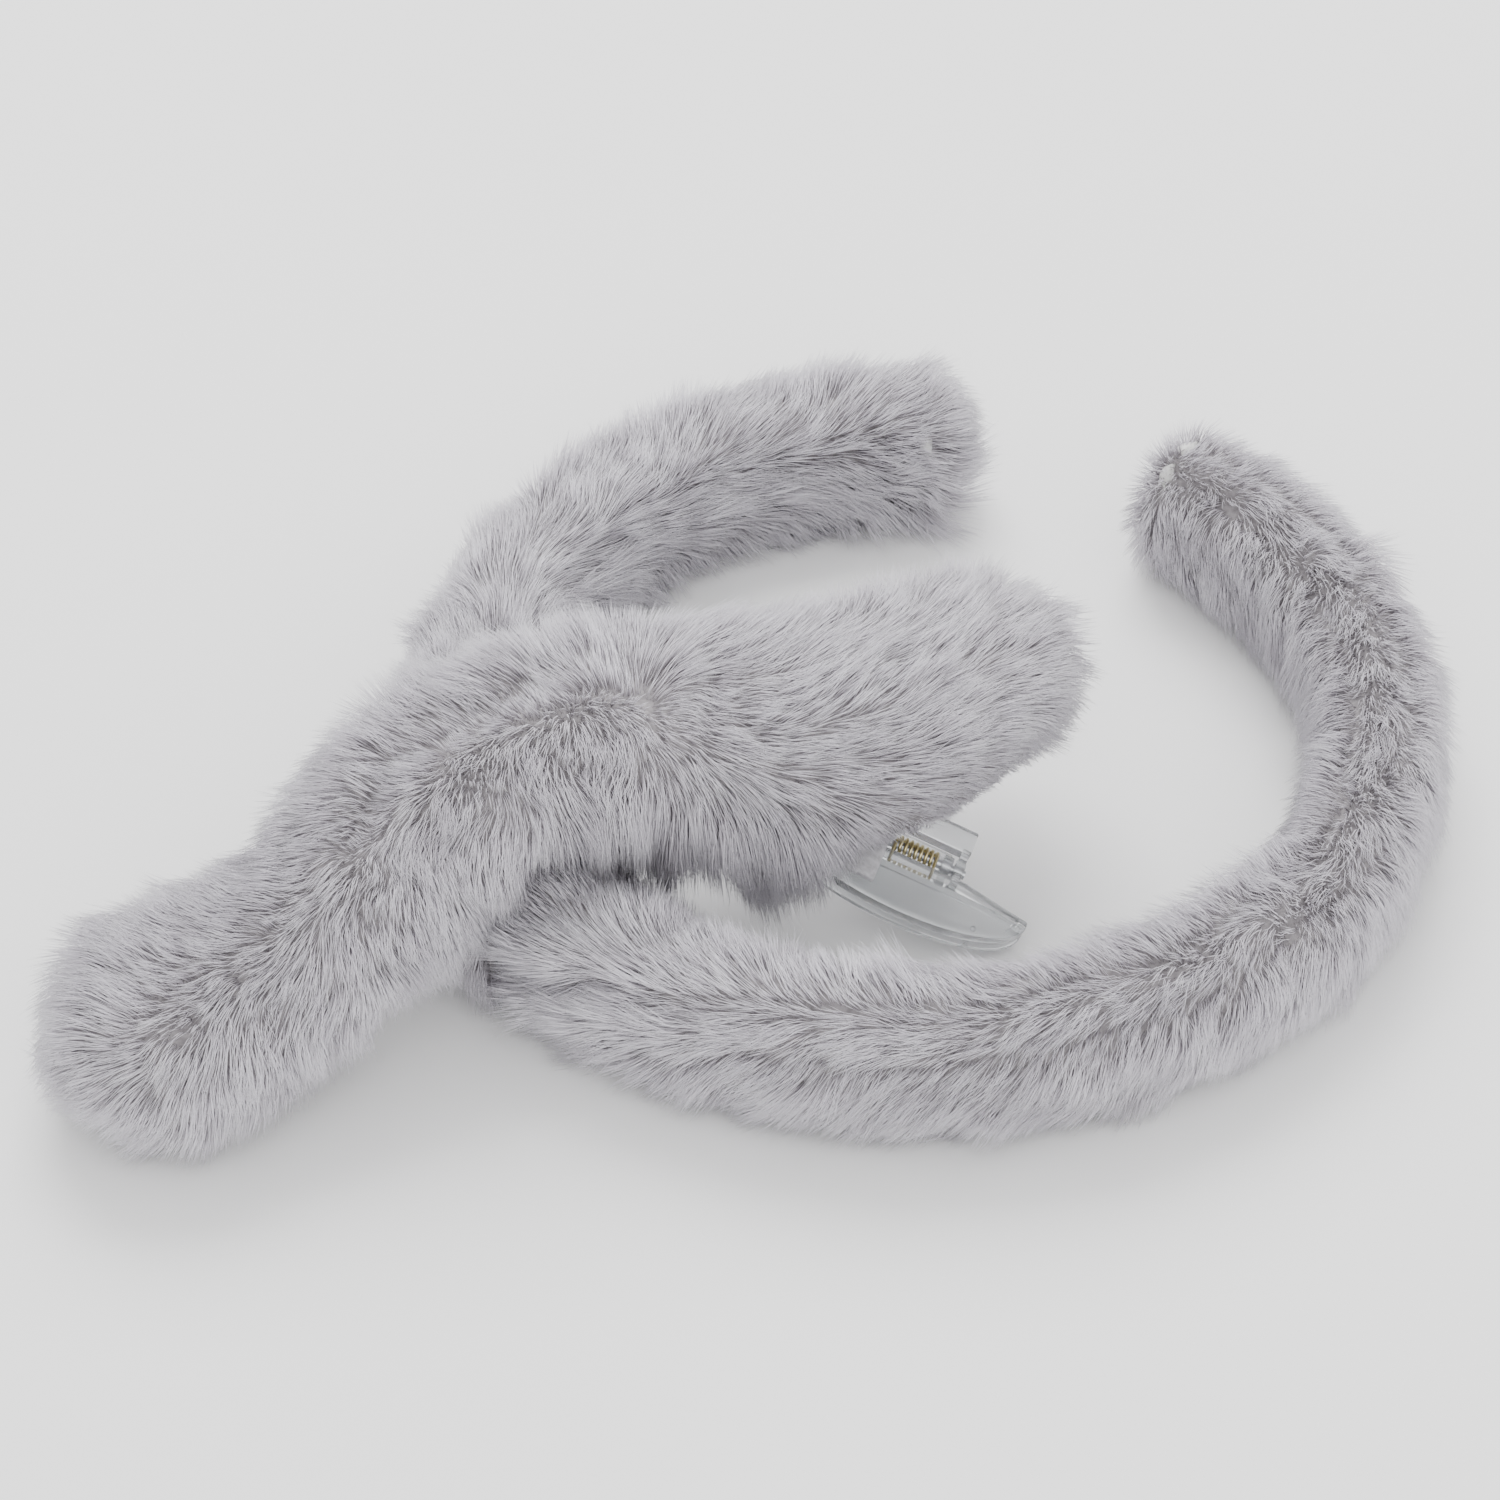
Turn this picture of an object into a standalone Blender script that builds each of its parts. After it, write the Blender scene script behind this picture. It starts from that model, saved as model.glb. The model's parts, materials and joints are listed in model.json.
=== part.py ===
"""Furry animal ears headband: a springy band in a fur sleeve, and a pair of plush ears on a fur loop.

The band lies flat. Its crown's lower face is at the origin, the ring's centre is on +Y, and the gap
between the two arms' tips faces +Y. The ears cross the band radially: the outer ear points away from
the ring, the inner ear points across it and carries a small spring clip on its underside.
"""
import math

import bmesh
import bpy
from mathutils import Matrix, Vector

MM = 0.001
GAP = 0.3 * MM

# Ring
RING_RADIUS = 71 * MM
CROWN_CENTRE = 270
CROWN_SPAN = 140
CROWN_STEPS = 21
ARM_END = 71.5
ARM_STEPS = 13
ARM_DROP = 1.5 * MM
UPRIGHT = Vector((0, 0, 1))
RING_CENTRE = Vector((0, RING_RADIUS, 0))

# Band section
SLEEVE_HALF_WIDTH = 9.5 * MM
SLEEVE_HALF_HEIGHT = 13 * MM
FUR_BACKING = 2 * MM
SECTION_SIDES = 12
STRIP_SIDES = 8
STRIP_HALF_WIDTH = 0.6 * MM
STRIP_HALF_HEIGHT = 6 * MM
STRIP_HEIGHT = 12 * MM
STRIP_ROOM = 0.35 * MM
ROUNDED = 2.4
SQUARE = 10
TIP_CAP_LENGTH = 6 * MM
TIP_CAP_WALL = 0.5 * MM
TIP_CAP_STEPS = 2
DOME_LENGTH = 5 * MM
DOME_RINGS = 5
DOME_FLATTEST = 78

# Loop and saddle
EARS_AXIS = "ears_slide_axis"
EARS_ANGLE = 225
LOOP_HALF_SPAN = 11.5
LOOP_STEPS = 4
LOOP_ROOM = 0.4 * MM
LOOP_SIDE = 2 * MM
LOOP_SOLE = 0.8 * MM
LOOP_TOP = 1.2 * MM
SADDLE_START = 50.3 * MM
SADDLE_END = 83.7 * MM
SADDLE_HALF_WIDTH = 18 * MM
SADDLE_HALF_HEIGHT = 10.2 * MM
SADDLE_OFFSET = 3 * MM
SADDLE_SECTIONS = 4
ROOT_GAP = 0.6 * MM

# Ears: each station is (along the spoke, across it, height, half width, half thickness, roll)
OUTER_EAR = (
    (85, 4, 31.5, 18.8, 12.8, 0),
    (97, 8.5, 25.5, 17.6, 12.2, 0),
    (108, 12, 20.6, 16.8, 12, 0),
    (120, 12.8, 17, 18.6, 12.6, 0),
    (131, 13.2, 15, 19.2, 12.8, 0),
    (140, 13.2, 14, 15, 10.6, 0),
    (145.5, 13.2, 14, 7.5, 6, 0),
)
INNER_EAR = (
    (49.2, 4, 35.8, 18.2, 11.6, 0),
    (38, 8, 33.8, 18.8, 12.4, 12),
    (24, 13, 31.4, 19.8, 12.6, 20),
    (10, 13, 30.4, 19.6, 12.6, 20),
    (-3, 9.4, 29.4, 17.6, 12, 20),
    (-12, 6.8, 29, 13.6, 9.8, 20),
    (-17.5, 5.6, 29, 7, 5.8, 20),
)
EAR_SIDES = 8
CAGE_SWELL = 1.08
COVER_WALL = 2 * MM
FILLING_ROOM = 2.4 * MM
WIRE_RADIUS = 0.8 * MM
WIRE_INSET = 5.6 * MM
FILLING_INSET = 7.8 * MM
FILLING_REACH = 0.6
WIRE_TIP_RINGS = 2
SMOOTH_STEPS = 3
SOFT_EDGE = 60
FIRM_EDGE = 40

# Clip, in its own frame: X from the hinge to the free edge, Y along the hinge, Z towards the ear
CLIP_PLACE = Vector((12, 22.6, 9.8)) * MM
CLIP_TURN = (-19.3, 10.1, 49)
LEAF_HALF_LENGTH = 20 * MM
LEAF_WIDTH = 12.5 * MM
LEAF_TIP_OFFSET = 4.5 * MM
LEAF_ROOT = 2.4 * MM
ROOT_MARGIN = 3 * MM
LEAF_THICKNESS = 2 * MM
LEAF_POINTS = 12
PANEL_RIM = 1.8 * MM
PANEL_DEPTH = 0.9 * MM
PIN_RADIUS = 0.7 * MM
PIN_HALF_LENGTH = 8.4 * MM
BORE_RADIUS = 0.85 * MM
KNUCKLE_RADIUS = 1.8 * MM
KNUCKLE_LENGTH = 1.6 * MM
BASE_KNUCKLE = 7.2 * MM
LID_KNUCKLE = 5.2 * MM
ARM_INSET = 0.15 * MM
LEVER_LENGTH = 4.5 * MM
LEVER_HALF_WIDTH = 6 * MM
LID_LEVER_ANGLE = 35
COIL_RADIUS = 1.4 * MM
COIL_WIRE = 0.25 * MM
COIL_TURNS = 8
COIL_PITCH = 0.85 * MM
COIL_POINTS = 10
PAD_SIZE = Vector((8, 9, 1.1)) * MM
PAD_PLACE = Vector((6, -9, 3)) * MM
CYLINDER_SIDES = 20

FUR = (0.62, 0.61, 0.64)


def clear_scene():
    for thing in list(bpy.data.objects):
        bpy.data.objects.remove(thing, do_unlink=True)


def make_collection(name):
    collection = bpy.data.collections.new(name)
    bpy.context.scene.collection.children.link(collection)
    return collection


def make_material(name, colour, roughness, metallic=0.0, alpha=1.0):
    material = bpy.data.materials.new(name)
    material.use_nodes = True
    shader = material.node_tree.nodes["Principled BSDF"]
    shader.inputs["Base Color"].default_value = (*colour, 1.0)
    shader.inputs["Roughness"].default_value = roughness
    shader.inputs["Metallic"].default_value = metallic
    shader.inputs["Alpha"].default_value = alpha
    return material


def make_axis(name, place, parent=None, turn=(0, 0, 0), order="XYZ"):
    axis = bpy.data.objects.new(name, None)
    axis.location = place
    axis.rotation_mode = order
    axis.rotation_euler = [math.radians(angle) for angle in turn]
    axis.parent = parent
    parts.objects.link(axis)
    return axis


def add_object(name, data, parent=None, material=None, collection=None):
    thing = bpy.data.objects.new(name, data)
    thing.parent = parent
    if material:
        data.materials.append(material)
    (collection or parts).objects.link(thing)
    return thing


def mesh_from(name, bm):
    bmesh.ops.recalc_face_normals(bm, faces=bm.faces)
    mesh = bpy.data.meshes.new(name)
    bm.to_mesh(mesh)
    bm.free()
    return mesh


def shade_smooth(mesh, sharpest=FIRM_EDGE):
    mesh.shade_smooth()
    mesh.set_sharp_from_angle(angle=math.radians(sharpest))


# Ring parts: outlines in the plane across the band, swept about the ring's upright axis


def spread(value, squareness):
    return math.copysign(abs(value) ** (2 / squareness), value)


def oval(half_width, half_height, height, sides=SECTION_SIDES, squareness=ROUNDED):
    """Outline points (distance from the ring's centre, height), with flat top, bottom and sides."""
    flat = spread(math.cos(math.pi / sides), squareness)
    outline = []
    for i in range(sides):
        angle = (i + 0.5) * 2 * math.pi / sides
        out = half_width * spread(math.cos(angle), squareness) / flat
        up = half_height * spread(math.sin(angle), squareness) / flat
        outline.append((RING_RADIUS + out, height + up))
    return outline


def sleeve_height(drop):
    return SLEEVE_HALF_HEIGHT - drop


def sleeve_outline(inset, drop=0.0):
    return oval(SLEEVE_HALF_WIDTH - inset, SLEEVE_HALF_HEIGHT - inset, sleeve_height(drop))


def strip_outline(room=0.0, sides=STRIP_SIDES):
    return oval(STRIP_HALF_WIDTH + room, STRIP_HALF_HEIGHT + room, STRIP_HEIGHT, sides, SQUARE)


def spoke_at(angle):
    return Vector((math.cos(math.radians(angle)), math.sin(math.radians(angle)), 0))


def outline_verts(bm, outline, angle):
    return [bm.verts.new(RING_CENTRE + spoke_at(angle) * r + UPRIGHT * z) for r, z in outline]


def spin(bm, geometry, turn, steps):
    bmesh.ops.spin(
        bm,
        geom=geometry,
        cent=RING_CENTRE,
        axis=UPRIGHT,
        angle=math.radians(turn),
        steps=steps,
    )


def sweep(name, outer, inner, start, end, steps):
    """Turns the face inside one outline, or between two, about the ring's axis into a closed body."""
    bm = bmesh.new()
    rim = outline_verts(bm, outer, start)
    if inner:
        bore = outline_verts(bm, inner, start)
        for i in range(len(rim)):
            bm.faces.new((rim[i - 1], rim[i], bore[i], bore[i - 1]))
    else:
        bm.faces.new(rim)
    spin(bm, bm.verts[:] + bm.edges[:] + bm.faces[:], end - start, steps)
    return mesh_from(name, bm)


def open_sweep(name, outline, start, end, steps):
    """The same, as a skin that is open at its start and closed at its end."""
    bm = bmesh.new()
    rim = outline_verts(bm, outline, end)
    bm.faces.new(rim)
    edges = [bm.edges.get((rim[i - 1], rim[i])) for i in range(len(rim))]
    spin(bm, rim + edges, start - end, steps)
    return mesh_from(name, bm)


def arc_angle(length):
    return math.degrees(length / RING_RADIUS)


def add_sector(name, outer, inner, span, steps, parent, material):
    mesh = sweep(name, outer, inner, *span, steps)
    shade_smooth(mesh)
    return add_in_place(name, mesh, parent, material)


def add_in_place(name, mesh, parent, material):
    """Adds a mesh drawn in world coordinates to a parent that stands elsewhere."""
    bpy.context.view_layer.update()
    mesh.transform(parent.matrix_world.inverted())
    return add_object(name, mesh, parent, material)


def add_band_length(side, start, end, steps, drop, parent, fur, foam, steel):
    """One length of the band: steel strip, wadding round it and fur sleeve round both."""
    direction = 0 if side == "crown" else math.copysign(1, end - start)
    strip_end = end - direction * arc_angle(2 * GAP + TIP_CAP_WALL)
    add_sector(f"core_{side}", strip_outline(), None, (start, strip_end), steps, parent, steel)
    wadding_end = end - direction * arc_angle(TIP_CAP_LENGTH + 2 * GAP)
    wadding = sleeve_outline(FUR_BACKING + GAP, drop)
    slot = strip_outline(STRIP_ROOM, SECTION_SIDES)
    add_sector(f"wadding_{side}", wadding, slot, (start, wadding_end), steps, parent, foam)
    sleeve = sleeve_outline(0, drop)
    lining = sleeve_outline(FUR_BACKING, drop)
    add_sector(f"sleeve_{side}", sleeve, lining, (start, end), steps, parent, fur)


def add_sleeve_end(side, angle, direction, parent, material):
    """The rounded fur closure at an arm's end: the sleeve's outline shrinking along a quarter circle."""
    bm = bmesh.new()
    rings = []
    for i in range(DOME_RINGS):
        rise = math.radians(DOME_FLATTEST * i / (DOME_RINGS - 1))
        at = angle + direction * arc_angle(GAP + DOME_LENGTH * math.sin(rise))
        outline = oval(
            SLEEVE_HALF_WIDTH * math.cos(rise),
            SLEEVE_HALF_HEIGHT * math.cos(rise),
            sleeve_height(ARM_DROP),
        )
        rings.append(outline_verts(bm, outline, at))
    skin_rings(bm, rings)
    bm.faces.new(rings[0])
    bm.faces.new(rings[-1])
    mesh = mesh_from(f"sleeve_end_{side}", bm)
    shade_smooth(mesh)
    add_in_place(f"sleeve_end_{side}", mesh, parent, material)


def add_tip_cap(side, angle, direction, parent, material):
    """A plastic cap over the strip's end, open towards the crown."""
    start = angle - direction * arc_angle(TIP_CAP_LENGTH)
    end = angle - direction * arc_angle(GAP)
    outer = oval(
        STRIP_HALF_WIDTH + STRIP_ROOM + TIP_CAP_WALL,
        STRIP_HALF_HEIGHT + STRIP_ROOM + TIP_CAP_WALL,
        STRIP_HEIGHT,
        STRIP_SIDES,
        SQUARE,
    )
    mesh = open_sweep(f"core_tip_{side}", outer, start, end, TIP_CAP_STEPS)
    cap = add_in_place(f"core_tip_{side}", mesh, parent, material)
    add_shell_wall(cap, TIP_CAP_WALL)


def add_shell_wall(thing, thickness):
    wall = thing.modifiers.new("wall", "SOLIDIFY")
    wall.thickness = thickness
    wall.offset = -1
    wall.use_even_offset = True


def add_band(fur, foam, steel, plastic):
    crown = (CROWN_CENTRE - CROWN_SPAN / 2, CROWN_CENTRE + CROWN_SPAN / 2)
    root = make_axis("band_crown_root", Vector())
    add_band_length("crown", crown[0], crown[1], CROWN_STEPS, 0, root, fur, foam, steel)
    for side, start, direction in (("left", crown[0], -1), ("right", crown[1], 1)):
        hinge_radius = RING_RADIUS + SLEEVE_HALF_WIDTH + GAP
        axis = make_axis(f"{side}_arm_axis", RING_CENTRE + spoke_at(start) * hinge_radius, root)
        first = start + direction * arc_angle(GAP)
        last = start + direction * (180 - CROWN_SPAN / 2 - (90 - ARM_END))
        add_band_length(side, first, last, ARM_STEPS, ARM_DROP, axis, fur, foam, steel)
        add_sleeve_end(side, last, direction, axis, fur)
        add_tip_cap(side, last, direction, axis, plastic)
    return root


# Ears: rings of points across a curved spine, with a subdivided skin


def skin_rings(bm, rings):
    for low, high in zip(rings, rings[1:]):
        for i in range(len(low)):
            bm.faces.new((low[i - 1], low[i], high[i], high[i - 1]))


def station_frames(stations):
    """For each station: its place, the direction across the ear and the direction through it."""
    places = [Vector(station[:3]) * MM for station in stations]
    frames = []
    for i, place in enumerate(places):
        if i == 0:
            along = Vector((places[1].x - place.x, 0, 0)).normalized()
        else:
            along = (places[min(i + 1, len(places) - 1)] - places[i - 1]).normalized()
        across = along.cross(UPRIGHT).normalized()
        through = across.cross(along)
        roll = Matrix.Rotation(math.radians(stations[i][5]), 3, along)
        frames.append((place, roll @ across, roll @ through))
    return frames


def ear_rings(stations, inset=0.0, thinner=0.0):
    rings = []
    for station, (place, across, through) in zip(stations, station_frames(stations)):
        half_width = max(station[3] * MM - inset, 2 * MM) * CAGE_SWELL
        half_thickness = max(station[4] * MM - thinner, 2 * MM) * CAGE_SWELL
        ring = []
        for i in range(EAR_SIDES):
            angle = (i + 0.5) * 2 * math.pi / EAR_SIDES
            ring.append(
                place
                + across * half_width * spread(math.cos(angle), ROUNDED)
                + through * half_thickness * spread(math.sin(angle), ROUNDED)
            )
        rings.append(ring)
    return rings


def soft_body(name, rings, parent, material, open_ends=(False, False)):
    """A subdivided skin over rings of points, which are in the frame of the ears' ring axis."""
    bm = bmesh.new()
    loops = [[bm.verts.new(point) for point in ring] for ring in rings]
    skin_rings(bm, loops)
    for loop, is_open in zip((loops[0], loops[-1]), open_ends):
        if not is_open:
            bm.faces.new(loop)
    mesh = mesh_from(name, bm)
    shade_smooth(mesh, SOFT_EDGE)
    mesh.transform(Matrix.Translation(-offset_to(parent)))
    body = add_object(name, mesh, parent, material)
    soften = body.modifiers.new("soften", "SUBSURF")
    soften.levels = 1
    soften.render_levels = 1
    return body


def offset_to(axis):
    """Where an ear's axis stands in the frame of the ears' ring axis, which itself stands at zero."""
    return Vector() if axis.name == EARS_AXIS else axis.location


def smooth_path(points, steps):
    """A Catmull-Rom curve through the points."""
    path = []
    for i in range(len(points) - 1):
        before = points[max(i - 1, 0)]
        start = points[i]
        end = points[i + 1]
        after = points[min(i + 2, len(points) - 1)]
        for step in range(steps):
            t = step / steps
            path.append(
                0.5
                * (
                    2 * start
                    + (end - before) * t
                    + (2 * before - 5 * start + 4 * end - after) * t**2
                    + (3 * start - before - 3 * end + after) * t**3
                )
            )
    path.append(points[-1])
    return path


def add_tube(name, path, radius, parent, material):
    curve = bpy.data.curves.new(name, "CURVE")
    curve.dimensions = "3D"
    curve.bevel_depth = radius
    curve.bevel_resolution = 2
    curve.use_fill_caps = True
    spline = curve.splines.new("POLY")
    spline.points.add(len(path) - 1)
    for point, place in zip(spline.points, path):
        point.co = (*place, 1)
    return add_object(name, curve, parent, material)


def add_ear(side, stations, root_x, parent, fur, foam, steel):
    """A fur cover open at its root, a filling in it, and a wire frame along both edges between them."""
    top = (stations[0][2] + stations[0][4]) * MM + GAP
    axis = make_axis(f"ear_{side}_axis", Vector((root_x, 0, top)), parent)
    cover = soft_body(f"ear_{side}_cover", ear_rings(stations), axis, fur, (True, False))
    add_shell_wall(cover, COVER_WALL)
    last = between(stations[-3], stations[-2], FILLING_REACH)
    filling = ear_rings((*stations[:-2], last), FILLING_INSET, FILLING_ROOM)
    soft_body(f"ear_{side}_filling", filling, axis, foam)
    add_wire(side, stations, axis, steel)
    return axis


def between(first, second, share):
    return tuple(a + (b - a) * share for a, b in zip(first, second))


def add_wire(side, stations, axis, steel):
    used = stations[:-WIRE_TIP_RINGS]
    edge = []
    for station, (place, across, _) in zip(used, station_frames(stations)):
        reach = station[3] * MM - WIRE_INSET
        edge.append((place + across * reach, place - across * reach))
    turn_place = Vector(stations[-2][:3]) * MM
    points = [pair[0] for pair in edge] + [turn_place] + [pair[1] for pair in reversed(edge)]
    points = [point - offset_to(axis) for point in points]
    add_tube(f"ear_{side}_wire", smooth_path(points, SMOOTH_STEPS), WIRE_RADIUS, axis, steel)


def saddle_stations(shrink=0.0, start=SADDLE_START, end=SADDLE_END):
    height = 2 * SLEEVE_HALF_HEIGHT + LOOP_ROOM + LOOP_TOP + 2 * GAP + SADDLE_HALF_HEIGHT
    stations = []
    for i in range(SADDLE_SECTIONS):
        along = start + (end - start) * i / (SADDLE_SECTIONS - 1)
        stations.append(
            (
                along / MM,
                SADDLE_OFFSET / MM,
                height / MM,
                (SADDLE_HALF_WIDTH - shrink) / MM,
                (SADDLE_HALF_HEIGHT - shrink) / MM,
                0,
            )
        )
    return stations


def add_saddle(parent, fur, foam):
    """The fur tube between the two ears' roots, over the loop, with its own filling."""
    rings = ear_rings(saddle_stations())
    cover = soft_body("saddle_cover", rings, parent, fur, (True, True))
    add_shell_wall(cover, COVER_WALL)
    room = COVER_WALL + 2 * GAP
    stations = saddle_stations(room, SADDLE_START + GAP, SADDLE_END - GAP)
    soft_body("saddle_filling", ear_rings(stations), parent, foam)


def add_loop(parent, fur):
    inner = oval(
        SLEEVE_HALF_WIDTH + LOOP_ROOM,
        SLEEVE_HALF_HEIGHT + LOOP_ROOM,
        SLEEVE_HALF_HEIGHT,
    )
    lowest = -LOOP_ROOM - LOOP_SOLE
    highest = 2 * SLEEVE_HALF_HEIGHT + LOOP_ROOM + LOOP_TOP
    outer = oval(
        SLEEVE_HALF_WIDTH + LOOP_ROOM + LOOP_SIDE,
        (highest - lowest) / 2,
        (highest + lowest) / 2,
    )
    span = (EARS_ANGLE - LOOP_HALF_SPAN, EARS_ANGLE + LOOP_HALF_SPAN)
    add_sector("band_loop", outer, inner, span, LOOP_STEPS, parent, fur)


# Clip


def leaf_outline(shrink=0.0):
    """Half of a pointed oval each way from the middle, blunt at the hinge and curved at the free edge."""
    reach = LEAF_HALF_LENGTH - shrink
    outline = []
    for i in range(LEAF_POINTS + 1):
        angle = math.pi * (i / LEAF_POINTS - 0.5)
        bulge = LEAF_TIP_OFFSET + (LEAF_WIDTH - shrink - LEAF_TIP_OFFSET) * math.cos(angle)
        outline.append((bulge, reach * math.sin(angle)))
    root = LEAF_ROOT + shrink
    outline.append((root, LEVER_HALF_WIDTH + ROOT_MARGIN))
    outline.append((root, -LEVER_HALF_WIDTH - ROOT_MARGIN))
    return outline


def plate_mesh(name, outline, low, high):
    """A flat outline extruded between two heights, as a closed mesh."""
    curve = bpy.data.curves.new(name, "CURVE")
    curve.dimensions = "2D"
    curve.fill_mode = "BOTH"
    curve.extrude = (high - low) / 2
    spline = curve.splines.new("POLY")
    spline.points.add(len(outline) - 1)
    for point, (x, y) in zip(spline.points, outline):
        point.co = (x, y, 0, 1)
    spline.use_cyclic_u = True
    guide = add_object(name, curve, collection=cutters)
    bpy.context.view_layer.update()
    evaluated = guide.evaluated_get(bpy.context.evaluated_depsgraph_get())
    mesh = bpy.data.meshes.new_from_object(evaluated)
    bpy.data.objects.remove(guide, do_unlink=True)
    bm = bmesh.new()
    bm.from_mesh(mesh)
    bmesh.ops.remove_doubles(bm, verts=bm.verts, dist=MM / 100)
    bmesh.ops.translate(bm, verts=bm.verts, vec=UPRIGHT * (high + low) / 2)
    return mesh_from(name, bm)


def box_mesh(name, low, high, turn=0.0):
    """A box between two corners, turned about the hinge."""
    bm = bmesh.new()
    bmesh.ops.create_cube(bm, size=1)
    size = Vector(high) - Vector(low)
    middle = (Vector(high) + Vector(low)) / 2
    shape = Matrix.Translation(middle) @ Matrix.Diagonal((*size, 1))
    bmesh.ops.transform(bm, matrix=Matrix.Rotation(turn, 4, "Y") @ shape, verts=bm.verts)
    return mesh_from(name, bm)


def hinge_cylinder(name, radius, half_length, middle=0.0):
    bm = bmesh.new()
    bmesh.ops.create_cone(
        bm,
        cap_ends=True,
        segments=CYLINDER_SIDES,
        radius1=radius,
        radius2=radius,
        depth=2 * half_length,
        matrix=Matrix.Translation((0, middle, 0)) @ Matrix.Rotation(math.pi / 2, 4, "X"),
    )
    return mesh_from(name, bm)


def combine(body, mesh, operation):
    """Joins a hidden tool mesh to a body, or cuts it away."""
    tool = add_object(f"{body.name}_{mesh.name}", mesh, body.parent, collection=cutters)
    tool.hide_render = True
    tool.display_type = "WIRE"
    step = body.modifiers.new(mesh.name, "BOOLEAN")
    step.operation = operation
    step.object = tool


def add_leaf(name, side, knuckle, lever_angle, parent, plastic):
    """A clip leaf with a sunk panel, two knuckles on the hinge and a thumb lever behind it."""
    near = GAP / 2
    far = GAP / 2 + LEAF_THICKNESS
    low, high = sorted((side * near, side * far))
    body = add_object(name, plate_mesh(name, leaf_outline(), low, high), parent, plastic)
    cut_low, cut_high = sorted((side * (far - PANEL_DEPTH), side * (far + MM)))
    combine(body, plate_mesh("panel", leaf_outline(PANEL_RIM), cut_low, cut_high), "DIFFERENCE")
    half = KNUCKLE_LENGTH / 2
    arm_half = half - ARM_INSET
    arm_low = low + ARM_INSET
    arm_high = high - ARM_INSET
    for end in (-1, 1):
        middle = end * knuckle
        reach = LEAF_ROOT + MM
        front = box_mesh("front_arm", (0, middle - arm_half, arm_low), (reach, middle + arm_half, arm_high))
        combine(body, front, "UNION")
        combine(body, hinge_cylinder("knuckle", KNUCKLE_RADIUS, half, middle), "UNION")
        back = box_mesh(
            "back_arm",
            (-reach, middle - arm_half, arm_low),
            (0, middle + arm_half, arm_high),
            math.radians(lever_angle),
        )
        combine(body, back, "UNION")
    lever = box_mesh(
        "lever",
        (-LEAF_ROOT - LEVER_LENGTH, -knuckle - half, low),
        (-LEAF_ROOT, knuckle + half, high),
        math.radians(lever_angle),
    )
    combine(body, lever, "UNION")
    combine(body, hinge_cylinder("bore", BORE_RADIUS, PIN_HALF_LENGTH + MM), "DIFFERENCE")


def coil_path():
    """A torsion spring round the hinge pin, each end running out as a straight leg."""
    path = []
    count = COIL_TURNS * COIL_POINTS
    for i in range(count + 1):
        angle = 2 * math.pi * i / COIL_POINTS
        along = COIL_PITCH * (i / COIL_POINTS - COIL_TURNS / 2)
        path.append(Vector((COIL_RADIUS * math.sin(angle), along, COIL_RADIUS * math.cos(angle))))
    return path


def add_clip(parent, plastic, steel, brass, felt):
    place = CLIP_PLACE - offset_to(parent)
    frame = make_axis("clip_frame", place, parent, CLIP_TURN, "YXZ")
    pad = box_mesh("clip_pad", PAD_PLACE - PAD_SIZE / 2, PAD_PLACE + PAD_SIZE / 2)
    add_object("clip_pad", pad, frame, felt)
    add_leaf("clip_base", 1, BASE_KNUCKLE, 0, frame, plastic)
    pin = hinge_cylinder("clip_pin", PIN_RADIUS, PIN_HALF_LENGTH)
    shade_smooth(pin)
    add_object("clip_pin", pin, frame, steel)
    add_tube("clip_spring", coil_path(), COIL_WIRE, frame, brass)
    lid_axis = make_axis("clip_lid_axis", Vector(), frame)
    add_leaf("clip_lid", -1, LID_KNUCKLE, -LID_LEVER_ANGLE, lid_axis, plastic)


def build():
    fur = make_material("grey_fur", FUR, 0.9)
    foam = make_material("wadding", (0.86, 0.86, 0.84), 0.95)
    steel = make_material("spring_steel", (0.56, 0.57, 0.58), 0.35, metallic=1.0)
    cap = make_material("tip_plastic", (0.2, 0.2, 0.21), 0.5)
    felt = make_material("felt", (0.5, 0.49, 0.51), 0.95)
    clear = make_material("clear_plastic", (0.92, 0.94, 0.95), 0.08, alpha=0.35)
    brass = make_material("brass", (0.72, 0.56, 0.26), 0.3, metallic=1.0)
    band = add_band(fur, foam, steel, cap)
    ears = make_axis(EARS_AXIS, RING_CENTRE, band, (0, 0, EARS_ANGLE))
    add_loop(ears, fur)
    add_saddle(ears, fur, foam)
    add_ear("outer", OUTER_EAR, SADDLE_END + ROOT_GAP / 2, ears, fur, foam, steel)
    inner = add_ear("inner", INNER_EAR, SADDLE_START - ROOT_GAP / 2, ears, fur, foam, steel)
    add_clip(inner, clear, steel, brass, felt)


clear_scene()
parts = make_collection("furry_ears_headband")
cutters = make_collection("cutters")
build()
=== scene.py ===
"""Looks of the furry animal ears headband: combed pile on every cover, and a clear spring clip."""

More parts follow.
